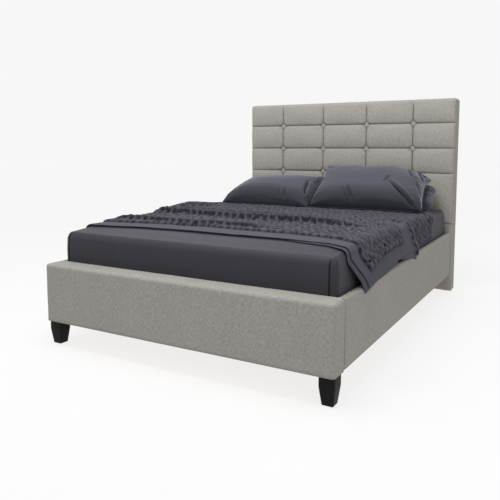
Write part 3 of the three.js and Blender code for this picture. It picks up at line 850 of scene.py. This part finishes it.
def sheet_slack(points, normals):
    """Wrinkles of the fitted sheet: pulls that run from its corners, ripples above its elastic, and
    faint waves on top. They only stand out, so the mattress stays inside."""
    from_corner = np.hypot(np.minimum(points[:, 0] - sheet_low.x, sheet_high.x - points[:, 0]),
                           np.minimum(points[:, 1] - sheet_low.y, sheet_high.y - points[:, 1]))
    side = 1 - np.abs(normals[:, 2])
    low_down = 1 - smoothstep(points[:, 2], sheet_low.z, sheet_low.z + 0.09)
    gathers = 1.6 * MM * (1 + noise(points, (0.028, 0.028, 0.25), 31)) * low_down
    pulls = 1.2 * MM * (1 + noise(points, (0.3, 0.3, 0.035), 32)) * bell(from_corner, 0.28)
    belly = 6 * MM * np.sin(np.pi * np.clip((points[:, 2] - sheet_low.z) / 0.25, 0, 1))
    top = 0.7 * MM * (1 + noise(points, (0.22, 0.09, 1), 33))
    return side * (gathers + pulls + belly) + (1 - side) * top


def foot_slope(points):
    """How far the bed's top sinks towards its foot edge."""
    near_foot = 1 - smoothstep(points[:, 1], sheet_low.y, sheet_low.y + 0.20)
    return FOOT_SLOPE * near_foot * smoothstep(points[:, 2], sheet_high.z - 0.12, sheet_high.z)


def build_fitted_sheet():
    """The fitted sheet, open under the mattress, with a seam down each corner of its ends."""
    edge = MATTRESS_EDGE
    low, high = sheet_low, sheet_high
    corner_seams = (low.x + CORNER_SEAM, high.x - CORNER_SEAM)
    lines = [grid_lines(low.x, high.x, edge, edge, 0.014, corner_seams),
             grid_lines(low.y, high.y, edge, edge, 0.014),
             grid_lines(low.z, high.z, 0, MATTRESS_DROP, 0.012)]
    points, normals, quads = rounded_skin(lines, (edge, edge, 0), (edge, edge, MATTRESS_DROP), ("-z",))
    on_end = smoothstep(np.abs(normals[:, 1]), 0.5, 0.9)
    seam = (1 - smoothstep(nearest(points[:, 0], corner_seams), 2 * MM, 5.5 * MM)) * on_end
    points = points + normals * (sheet_slack(points, normals) - SEAM_GROOVE * seam)[:, None]
    points[:, 2] -= foot_slope(points)
    # painted shade in the corner seams' grooves and over the head end of the sheet
    shade_near_head = HEAD_SHADE * smoothstep(points[:, 1], 0.55, 0.85)
    lined, faces = with_lining(points, normals, quads, 1.6 * MM)
    sheet = piece("fitted_bottom_sheet", lined, faces, SHEET_CLOTH, "mattress", "sheet",
                  np.tile(np.maximum(seam, shade_near_head), 2))
    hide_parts("fitted_sheet")
    beads = []
    for x in corner_seams:
        for y in (low.y + 0.6 * MM, high.y - 0.6 * MM):
            heights = np.linspace(low.z + 4 * MM, high.z - MATTRESS_DROP * 0.8, 24)
            lip = x + math.copysign(4.5 * MM, x)
            beads.append(tube(np.column_stack([np.full(24, lip), np.full(24, y), heights]), 1.5 * MM, 6))
    stitched = piece("fitted_sheet_corner_seams", *joined(beads), SHEET_CLOTH, "mattress", "sheet")


build_mattress()
build_fitted_sheet()


# ---- coverlet and throw ----

_, rail_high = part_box("rail_cover_right")
SLANT = math.radians(20)            # how far from upright the covers slant out to the rails
RIB_PITCH = 50 * MM
COVERLET = 4 * MM                   # thickness
THROW = 5 * MM
COVERLET_LIFT = 2.8 * MM            # how far the coverlet's middle lies above the bed's top
TUCK_DEPTH = 16 * MM
TUCK_ROW_PITCH = 44 * MM
TUCK_PITCH = 40 * MM
TUCK_HALF_LENGTH = 27 * MM
TUCK_HALF_WIDTH = 11.5 * MM
TUCK_SHADE = 0.62                   # how much painted shade the foot side of the steepest lumps takes
THROW_PATTERN = 1.02                # length of cloth that the throw's pattern is laid out on


def over_the_edge(run, flare, lift):
    """Place (x, z) of cloth at distances run out from the bed's middle. Where flare is 1 it slants out
    over the rail, and where it is 0 it drops straight between mattress and rail."""
    radius = MATTRESS_EDGE + lift
    flat_end = SHEET_HALF - MATTRESS_EDGE
    steep = math.pi / 2 - SLANT * flare
    turn_end = flat_end + radius * steep
    left = rail_high.x + lift - (flat_end + radius * math.sin(steep))
    slant_end = turn_end + (left / math.cos(steep) if flare > 0.2 else 1.0)
    table = np.linspace(0, 1.2, 1201)
    knots = [0, flat_end, turn_end, slant_end - 0.018, slant_end + 0.012]
    angle = np.interp(table, knots, [0, 0, steep, steep, math.pi / 2])
    step = table[1]
    x = np.concatenate([[0], np.cumsum(np.cos((angle[1:] + angle[:-1]) / 2)) * step])
    z = np.concatenate([[0], -np.cumsum(np.sin((angle[1:] + angle[:-1]) / 2)) * step])
    return np.interp(run, table, x), BED_TOP + lift + np.interp(run, table, z)


def drape(run, y, flare, lift):
    """Points of a cover: run is the signed distance out from the middle, y the place along the bed."""
    grid = np.empty((*run.shape, 3))
    for column in range(run.shape[1]):
        x, z = over_the_edge(np.abs(run[:, column]), float(flare[column]), lift)
        grid[:, column, 0] = np.copysign(x, run[:, column])
        grid[:, column, 2] = z
    grid[..., 1] = y
    return grid


def tucks(run, along, inside, seed):
    """Matelasse: short slanting tucks in rows, leaning left and right in turn, that leave lumps between
    them. run and along are even material coordinates; inside is 1 where the pattern is sewn."""
    random = np.random.default_rng(seed)
    depth = np.zeros(run.shape)
    first_run, first_along = run[0, 0], along[0, 0]
    step_run = abs(run[1, 0] - first_run)
    step_along = abs(along[0, 1] - first_along)
    reach_run = int(1.3 * TUCK_HALF_LENGTH / step_run) + 1
    reach_along = int(1.3 * TUCK_HALF_LENGTH / step_along) + 1
    for row, at_along in enumerate(np.arange(first_along, along[0, -1], TUCK_ROW_PITCH)):
        for tuck, at_run in enumerate(np.arange(first_run, run[-1, 0], TUCK_PITCH)):
            centre_run = at_run + (row % 2) * TUCK_PITCH / 2 + random.normal(0, 4 * MM)
            centre_along = at_along + random.normal(0, 4 * MM)
            lean = (1 if (row + tuck) % 2 else -1) * math.radians(random.normal(48, 14))
            deep = random.uniform(0.5, 1.0)
            size = random.uniform(0.8, 1.2)
            i = int(round((centre_run - first_run) / step_run))
            j = int(round((centre_along - first_along) / step_along))
            rows = slice(max(i - reach_run, 0), max(i + reach_run + 1, 0))
            columns = slice(max(j - reach_along, 0), max(j + reach_along + 1, 0))
            du, dv = run[rows, columns] - centre_run, along[rows, columns] - centre_along
            if not du.size:
                continue
            ahead = (du * math.cos(lean) + dv * math.sin(lean)) / (TUCK_HALF_LENGTH * size)
            beside = (-du * math.sin(lean) + dv * math.cos(lean)) / (TUCK_HALF_WIDTH * size)
            lens = np.clip(1 - ahead ** 2 - beside ** 2, 0, 1) * deep
            depth[rows, columns] = np.maximum(depth[rows, columns], lens)
    return depth * inside


def bed_waves(points):
    """Slow rises of the covers over the mattress, shared by both so that they stay together."""
    broad = 2.5 * MM * (1 + noise(points, (0.35, 0.22, 0.2), 41))
    return broad + 1.2 * MM * (1 + noise(points, (0.12, 0.3, 0.1), 42))


def bunching(points):
    """The roll of spare cloth pushed up along the bed's left edge."""
    rise = 44 * MM * bell(points[..., 1] - 0.03, 0.30) * bell(points[..., 0] + 0.752, 0.045)
    return rise * smoothstep(-points[..., 0], 0.6, 0.7)


def cover_rise(grid, run):
    """How far both covers stand off where they lie on the mattress."""
    return bed_waves(grid) * (1 - smoothstep(np.abs(run), 0.74, 0.80)) + bunching(grid)


# Folds across the throw: place along the bed, slope, left and right ends, and height in millimetres.
RUFFLES = ((-0.315, -0.03, -0.80, 0.72, 36), (-0.620, 0.03, -0.80, 0.36, 22),
           (-0.185, -0.02, -0.80, 0.55, 14), (-0.070, -0.02, -0.80, 0.40, 11))


def ruffles(points):
    """Folds pushed up across the throw, steep towards the foot and ribbed by the quilting. Gives how
    far they rise and how much painted shade lies between their ribs."""
    x, y = points[..., 0], points[..., 1]
    rise, painted_shade = np.zeros(x.shape), np.zeros(x.shape)
    for place, slope, left, right, tall in RUFFLES:
        away = y - (place + slope * x + 9 * MM * np.sin(x * 8))
        rib = bell((x + 0.35 * away) % RIB_PITCH - RIB_PITCH / 2, 9 * MM)
        reach = smoothstep(x, left, left + 0.12) * (1 - smoothstep(x, right - 0.3, right))
        profile = np.where(away < 0, bell(away, 0.022), bell(away, 0.080))
        rise += tall * MM * profile * reach * (0.78 + 0.22 * rib)
        # painted shade in the hollow at the foot of each fold, between its ribs
        between = bell(away + 0.014, 0.024) * (1 - 0.85 * rib) * reach
        painted_shade = np.maximum(painted_shade, between * min(1, tall / 20))
    return rise, painted_shade


def shaded_side(lumps, along, run):
    """Painted shade on the sides of lumps that face the bed's foot, on its flat top."""
    rise = np.gradient(lumps, along, axis=1)
    return TUCK_SHADE * np.clip(1.1 * rise, 0, 1) * (1 - smoothstep(np.abs(run), 0.70, 0.78))


def border_share(distance, width):
    """1 inside a plain border of that width, with a soft edge."""
    return smoothstep(distance, width, width + 8 * MM)


# Where the throw's foot and head edges lie along the bed (second list) at distances out from its
# middle (first list), as it was left lying.
THROW_FOOT = ([-0.955, -0.86, -0.78, -0.71, -0.45, -0.22, 0.07, 0.38, 0.65, 0.74, 0.80, 0.87, 0.955],
              [-0.78, -0.83, -0.885, -0.88, -0.825, -0.803, -0.809, -0.805, -0.84, -0.895, -0.90, -0.84,
               -0.76])
THROW_HEAD = ([-0.955, -0.76, -0.5, 0.0, 0.245, 0.40, 0.53, 0.66, 0.75, 0.83, 0.955],
              [0.10, 0.16, 0.22, 0.235, 0.21, 0.18, 0.14, 0.03, -0.105, -0.115, -0.10])

# How far out from the middle each hem lies (second list) at places along the bed (first list).
THROW_HEM = ([-0.90, -0.76, -0.64, -0.54, -0.32, -0.10, 0.0, 0.25],
             [0.958, 0.958, 0.935, 0.915, 0.903, 0.902, 0.915, 0.93])
COVERLET_HEM = ([-0.80, -0.63, -0.5, -0.35, -0.28, -0.12, 0.0, 0.07, 0.10, 0.14, 0.16, 0.64],
                [0.965, 0.940, 0.934, 0.922, 0.900, 0.925, 0.940, 0.958, 0.902, 0.902, 0.936, 0.936])

# How far the coverlet's foot edge lies back from the throw's, in millimetres (second list), at shares
# of the way out (first list). Negative is past it, where the coverlet shows.
COVERLET_FOOT = ([-1, 0.42, 0.48, 0.66, 1], [14, 14, -6, -20, -40])
THROW_HALF = 0.955
COVERLET_HALF = 0.936


def build_coverlet():
    """The coverlet: hangs over the rails as far as the throw, tucked in behind it."""
    low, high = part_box("coverlet")
    tuck_start, tuck_end = 0.075, 0.15
    hidden_until = -0.05
    along = np.concatenate([np.arange(low.y, hidden_until, 0.018),
                            np.arange(hidden_until, high.y, 0.006), [high.y]])
    across = np.linspace(-1, 1, 321)
    flare = 1 - smoothstep(along, tuck_start, tuck_end)
    run = across[:, None] * np.interp(along, *COVERLET_HEM)[None, :]
    foot = np.interp(across * THROW_HALF, *THROW_FOOT) + np.interp(across, *COVERLET_FOOT) * MM
    share = np.clip((along - low.y) / (hidden_until - low.y), 0, 1)[None, :]
    y = foot[:, None] + (hidden_until - foot[:, None]) * share + np.maximum(along - hidden_until, 0)[None, :]
    y = y + 4 * MM * np.sin(run * 9) * smoothstep(along, 0.3, high.y)
    grid = drape(run, y, flare, COVERLET_LIFT)
    even_run = np.broadcast_to((across * COVERLET_HALF)[:, None], run.shape)
    fine = along >= hidden_until
    inside = np.zeros(run.shape)
    inside[:, fine] = border_share(high.y - along[fine], 0.03) * smoothstep(along[fine], 0.0, 0.04)
    inside *= border_share(COVERLET_HALF - np.abs(even_run), 0.02)
    raised = np.zeros(run.shape)
    even_along = np.broadcast_to(along[fine], even_run[:, fine].shape)
    pattern = tucks(even_run[:, fine], even_along, inside[:, fine], 51)
    raised[:, fine] = TUCK_DEPTH * (0.9 * inside[:, fine] - pattern)
    # painted shade: in the tucks and on the foot side of the lumps
    painted_shade = np.zeros(run.shape)
    shaded = shaded_side(-TUCK_DEPTH * pattern, along[fine], run[:, fine])
    painted_shade[:, fine] = np.maximum(smoothstep(pattern, 0.0, 0.5), shaded)
    tucked = smoothstep(np.abs(run), 0.80, 0.84) * (1 - flare)[None, :]
    raised *= 1 - 0.75 * tucked
    raised += cover_rise(grid, run)
    grid += grid_normals(grid) * raised[..., None]
    made = piece("quilted_coverlet", *cloth_sheet(grid, COVERLET), QUILT_CLOTH, "mattress", "quilting",
                 np.tile(painted_shade.ravel(), 2))
    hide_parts("coverlet")


def build_throw():
    """The throw over the foot half, its hem lying on the rails and its corners hanging lower."""
    across, down = np.linspace(-1, 1, 401), np.linspace(0, 1, 217)
    p, q = np.meshgrid(across, down, indexing="ij")
    even_run = p * THROW_HALF
    foot = np.interp(even_run, *THROW_FOOT)
    head = np.interp(even_run, *THROW_HEAD)
    y = foot + (head - foot) * q
    run = p * np.interp(y, *THROW_HEM)
    along = down * THROW_PATTERN
    grid = drape(run, y, np.ones(len(down)), COVERLET_LIFT + COVERLET / 2 + THROW / 2 + 1 * MM)
    even_along = np.broadcast_to(along, p.shape)
    foot_border, side_border = 0.125, 0.068
    from_hem = np.minimum.reduce([THROW_HALF - np.abs(even_run), even_along - foot_border + side_border,
                                  along[-1] - even_along, even_run + THROW_HALF - 0.12])
    inside = border_share(from_hem, side_border)
    pattern = tucks(even_run, even_along, inside, 52)
    pushed_up, shade_between_ribs = ruffles(grid)
    raised = TUCK_DEPTH * (0.9 * inside - pattern) + pushed_up
    # painted shade: in the tucks, along the stitched line inside the border, between the ruffles' ribs and on
    # the foot side of the lumps
    painted_shade = np.maximum(smoothstep(pattern, 0.0, 0.5), 0.9 * bell(from_hem - side_border, 3.5 * MM))
    painted_shade = np.maximum.reduce([painted_shade, shade_between_ribs, shaded_side(-TUCK_DEPTH * pattern, along, run)])
    raised += cover_rise(grid, run)
    raised -= 2.2 * MM * bell(from_hem - side_border, 4 * MM)
    raised += 1.2 * MM * (1 + noise(grid, (0.05, 0.05, 0.05), 43)) * (1 - inside)
    grid += grid_normals(grid) * raised[..., None]
    made = piece("quilted_throw", *cloth_sheet(grid, THROW), QUILT_CLOTH, "throw", "quilting",
                 np.tile(painted_shade.ravel(), 2))
    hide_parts("throw")


build_coverlet()
build_throw()


# ---- pillows ----

# tilt is in degrees from lying flat, shear how far the upper edge lies to the right of the lower one,
# slump how far the upper right corner sinks, rounding how much the corners are drawn in. Each crease
# runs from one place (u, v) to another on the pillow's front, u across from -1 to 1 and v up from -1
# to 1, with its depth, its half width, and how far the cloth beyond it is lifted, in millimetres.
PILLOWS = {
    "left": dict(length=0.695, height=0.545, front=0.098, back=0.060, tilt=19.0,
                 centre=(-0.390, 0.706, 0.706), shear=0.0, slump=0.010, rounding=0.0, seed=61, creases=[
                     ((0.33, -0.62), (0.38, -0.93), 9, 8, 2), ((0.44, -0.62), (0.53, -0.93), 12, 9, 3),
                     ((0.20, -0.70), (0.18, -0.95), 6, 8, 1), ((0.72, 0.10), (0.95, -0.70), 20, 12, 10),
                     ((0.62, 0.85), (0.86, 0.30), 9, 12, 5), ((0.86, 0.55), (0.93, -0.10), 8, 10, 3)]),
    "back": dict(length=0.720, height=0.400, front=0.052, back=0.045, tilt=25.0,
                 centre=(0.392, 0.812, 0.690), shear=-0.020, slump=0.012, rounding=0.13, seed=62, creases=[
                     ((0.86, 0.6), (0.80, -0.6), 6, 14, 2)]),
    "right": dict(length=0.785, height=0.550, front=0.102, back=0.050, tilt=29.5,
                  centre=(0.324, 0.706, 0.757), shear=-0.030, slump=0.090, rounding=0.0, seed=63, creases=[
                      ((-0.38, -0.55), (-0.33, -0.93), 9, 8, 2), ((-0.29, -0.50), (-0.20, -0.92), 12, 8, 2),
                      ((-0.12, -0.60), (-0.08, -0.90), 6, 8, 1), ((0.43, -0.28), (0.95, -0.93), 26, 10, 13),
                      ((0.88, -0.05), (0.97, -0.55), 10, 9, 3), ((0.30, -0.34), (0.46, 0.00), 7, 9, 5),
                      ((0.62, 0.90), (0.80, 0.10), 10, 12, 6), ((0.80, 0.86), (0.98, 0.20), 14, 9, 4),
                      ((0.90, 0.95), (0.93, 0.55), 10, 8, 0)]),
}
PILLOW_GRID = (161, 107)
CREST = -0.45                       # where up the pillow's front it is fullest
PILLOW_PUFF = 9 * MM                # how far cloth may move as it settles
LOWER_SHADE, END_SHADE = 0.62, 0.40 # how much painted shade the lower roll and the upper right end take
GAP_TO_HEADBOARD = 12 * MM
GAP_TO_BED = 9 * MM


def fill_shape(u, v):
    """How full a pillow is, from 0 at its seams to 1: round along its lower edge and thinner higher up."""
    above = np.clip(1 - np.abs((v - CREST) / (1 - CREST)) ** 2.2, 0, 1) ** 0.8
    below = np.clip(1 - np.abs((v - CREST) / (1 + CREST)) ** 2.2, 0, 1) ** 0.5
    return (1 - np.abs(u) ** 3.4) ** 0.55 * np.where(v > CREST, above, below)


def crease_relief(u, v, length, height, seed, creases):
    """How far creases move the cloth, in metres, and how much painted shade each point takes in them."""
    total, painted_shade = np.zeros(u.shape), np.zeros(u.shape)
    for start, end, depth, width, lift in creases:
        start, end = np.array(start), np.array(end)
        ahead = (end - start) / np.linalg.norm(end - start)
        along = ((u - start[0]) * ahead[0] + (v - start[1]) * ahead[1]) / np.linalg.norm(end - start)
        beside = ((u - start[0]) * -ahead[1] * length + (v - start[1]) * ahead[0] * height) / 2
        beside = beside + 5 * MM * np.sin(along * 5 + seed)
        held = smoothstep(along, -0.15, 0.3) * (1 - smoothstep(along, 0.8, 1.1))
        total -= depth * MM * bell(beside, width * MM) * held
        total += lift * MM * bell(beside - 2.2 * width * MM, 1.6 * width * MM) * held
        # painted shade along each crease
        painted_shade = np.maximum(painted_shade, min(1, depth / 14) * bell(beside, 0.9 * width * MM) * held)
    return total, painted_shade


def pillow_form(length, height, front, back, rounding, seed, creases):
    """A filled pillow lying flat: two panels sewn round their edge. Gives its points, its faces, and the
    painted shade on each point: in its creases, along its lower roll and over its upper right end."""
    even = (np.linspace(-1, 1, count) for count in PILLOW_GRID)
    spread = [0.55 * t + 0.45 * np.sin(math.pi / 2 * t) for t in even]
    u, v = np.meshgrid(*spread, indexing="ij")
    full = fill_shape(u, v)
    x = u * length / 2 * (1 - 0.045 * (1 - v ** 2) - rounding * u ** 2 * v ** 4)
    y = v * height / 2 * (1 - 0.055 * (1 - u ** 2) - rounding * v ** 2 * u ** 4)
    flat = np.stack([x, y, np.zeros(u.shape)], axis=-1)
    from_edge = np.minimum((1 - np.abs(u)) * length, (1 - np.abs(v)) * height) / 2
    pleats = noise(flat, (0.035, 0.035, 1), seed) * bell(from_edge - 0.035, 0.035) * 3.0 * MM
    loose = noise(flat, (0.16, 0.12, 1), seed + 1) * 5 * MM * full
    crimp, painted_shade = crease_relief(u, v, length, height, seed, creases)
    corners = np.zeros(u.shape)
    for corner_u in (-1, 1):
        for corner_v in (-1, 1):
            du, dv = (u - corner_u) * length / 2, (v - corner_v) * height / 2
            reach = np.hypot(du, dv)
            corners += 3.2 * MM * np.cos(7 * np.arctan2(dv, du) + seed) * bell(reach - 0.07, 0.05)
    at_edge = smoothstep(from_edge, 0, 0.02)
    border = np.zeros(u.shape, bool)
    border[[0, -1], :] = border[:, [0, -1]] = True
    over = np.where(border, 0, full * front + (pleats + loose + crimp + corners) * at_edge)
    under = np.where(border, 0, full * back + (pleats - loose * 0.5) * at_edge)
    ids = np.arange(u.size).reshape(u.shape)
    under_ids = ids.copy()
    under_ids[~border] = u.size + np.arange((~border).sum())
    least = 1.5 * MM * at_edge
    upper = np.stack([x, y, np.maximum(over, least)], axis=-1).reshape(-1, 3)
    lower = np.stack([x, y, -np.maximum(under, least)], axis=-1)[~border]
    faces = np.concatenate([quads_of(ids), quads_of(under_ids)[:, ::-1]])
    # painted shade: the lower roll darker, and the upper right end darker as if lit from the left
    painted_shade = np.maximum(painted_shade, LOWER_SHADE * smoothstep(-v, 0.3, 0.9))
    painted_shade = np.maximum(painted_shade, END_SHADE * smoothstep(u, 0.55, 0.95) * smoothstep(v, -0.3, 0.6))
    return np.concatenate([upper, lower]), faces, np.concatenate([painted_shade.ravel(), np.zeros(len(lower))])


def relax(points, faces, pressure, reach, frames=16):
    """Lets a filled skin puff and wrinkle as cloth for a few frames, no point moving further than reach."""
    mesh = bpy.data.meshes.new("skin")
    mesh.from_pydata(points.tolist(), [], faces.tolist())
    skin = bpy.data.objects.new("skin", mesh)
    scene.collection.objects.link(skin)
    cloth = skin.modifiers.new("cloth", "CLOTH")
    settings = cloth.settings
    settings.quality = 5
    settings.mass = 0.3
    settings.tension_stiffness = settings.compression_stiffness = 20
    settings.shear_stiffness = 8
    settings.bending_stiffness = 0.4
    settings.use_pressure = True
    settings.uniform_pressure_force = pressure
    settings.effector_weights.gravity = 0
    cloth.point_cache.frame_start = 1
    cloth.point_cache.frame_end = frames
    for at in range(1, frames + 1):
        scene.frame_set(at)
    done = skin.evaluated_get(bpy.context.evaluated_depsgraph_get())
    result = np.zeros(len(points) * 3)
    done.data.vertices.foreach_get("co", result)
    scene.frame_set(1)
    bpy.data.objects.remove(skin)
    moved = result.reshape(-1, 3) - points
    distance = np.linalg.norm(moved, axis=1, keepdims=True)
    return points + moved * np.minimum(1, reach / np.maximum(distance, 1e-9))


def press_below(value, limit, softness=12 * MM):
    """Values, eased so that none passes limit."""
    room = limit - np.asarray(value, float)
    return limit - softness * np.log1p(np.exp(np.clip(room / softness, -60, 60)))


def build_pillow(name, length, height, front, back, tilt, centre, shear, slump, rounding, seed, creases):
    """One pillow, filled, leant back and pressed on the bed and the headboard."""
    points, faces, painted_shade = pillow_form(length, height, front, back, rounding, seed, creases)
    points = relax(points, faces, pressure=3.0, reach=PILLOW_PUFF)
    turn = math.radians(tilt)
    x = points[:, 0] + centre[0] + shear * 2 * points[:, 1] / height
    y = points[:, 1] * math.cos(turn) - points[:, 2] * math.sin(turn) + centre[1]
    z = points[:, 1] * math.sin(turn) + points[:, 2] * math.cos(turn) + centre[2]
    sunk = np.clip(2.5 * points[:, 0] / length - 0.25, 0, 1) ** 2
    z -= slump * (sunk * smoothstep(2 * points[:, 1] / height, -0.2, 1.0))
    y = press_below(y, head_low.y - GAP_TO_HEADBOARD)
    z = -press_below(-z, -(BED_TOP + GAP_TO_BED), 8 * MM)
    made = piece(f"stuffed_pillow_{name}", np.column_stack([x, y, z]), faces, PILLOW_CLOTH,
                 f"pillow_{name}", "pillowcase", painted_shade)
    smooth = made.modifiers.new("smooth", "SUBSURF")
    smooth.levels = smooth.render_levels = 1
    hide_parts(f"pillow_{name}")


for name, facts in PILLOWS.items():
    build_pillow(name, **facts)


# ---- camera, light and floor ----

CAMERA_PLACE = (1.6168, -3.2138, 1.0261)
CAMERA_TURN = (math.radians(90 - 5.58), 0, math.radians(29.91))
CAMERA_LENS = 42.15
CAMERA_SHIFT_Y = -0.09
BACKGROUND = 0.93
FLOOR_GLOW = 0.80
FLOOR_REACH = 40.0

# Name, place, what it aims at, side of its square and power in watts.
LIGHTS = (("overhead", (0.0, -1.1, 3.4), (0.1, 0.8, 0.6), 2.0, 118),
          ("front", (-2.4, -4.2, 2.4), (0, 0.0, 0.4), 2.0, 29),
          ("fill", (2.9, -2.5, 1.3), (0.8, -1.0, 0.45), 1.2, 15))


def build_camera():
    data = bpy.data.cameras.new("camera")
    data.lens = CAMERA_LENS
    data.sensor_width = 36
    data.shift_y = CAMERA_SHIFT_Y
    camera = bpy.data.objects.new("camera", data)
    camera.location = CAMERA_PLACE
    camera.rotation_euler = Euler(CAMERA_TURN)
    scene.collection.objects.link(camera)
    scene.camera = camera


def build_floor():
    made = Finish("floor", Roughness=0.9, Specular_IOR_Level=0.1)
    base = made.ramp(made.noise(made.place(), 4.0), (0.3, (0.10,) * 3), (0.7, (0.105,) * 3))
    made.colour(made.tint(base, made.noise(made.place(), 200.0), 0.99, 1.01))
    made.shader.inputs["Emission Color"].default_value = (1, 1, 1, 1)
    made.shader.inputs["Emission Strength"].default_value = FLOOR_GLOW
    mesh = bpy.data.meshes.new("floor")
    corners = [(x * FLOOR_REACH, y * FLOOR_REACH, 0) for x, y in ((-1, -1), (1, -1), (1, 1), (-1, 1))]
    mesh.from_pydata(corners, [], [(0, 1, 2, 3)])
    mesh.materials.append(made.material)
    floor = bpy.data.objects.new("floor", mesh)
    scene.collection.objects.link(floor)


def area_light(name, place, aim, size, power):
    data = bpy.data.lights.new(name, "AREA")
    data.shape = "SQUARE"
    data.size = size
    data.energy = power
    light = bpy.data.objects.new(name, data)
    light.location = place
    light.rotation_euler = (Vector(aim) - Vector(place)).to_track_quat("-Z", "Y").to_euler()
    scene.collection.objects.link(light)


def build_light():
    world = bpy.data.worlds.new("studio")
    world.use_nodes = True
    world.node_tree.nodes["Background"].inputs["Color"].default_value = (BACKGROUND,) * 3 + (1,)
    scene.world = world
    scene.view_settings.view_transform = "Standard"
    for light in LIGHTS:
        area_light(*light)


build_camera()
build_light()
build_floor()
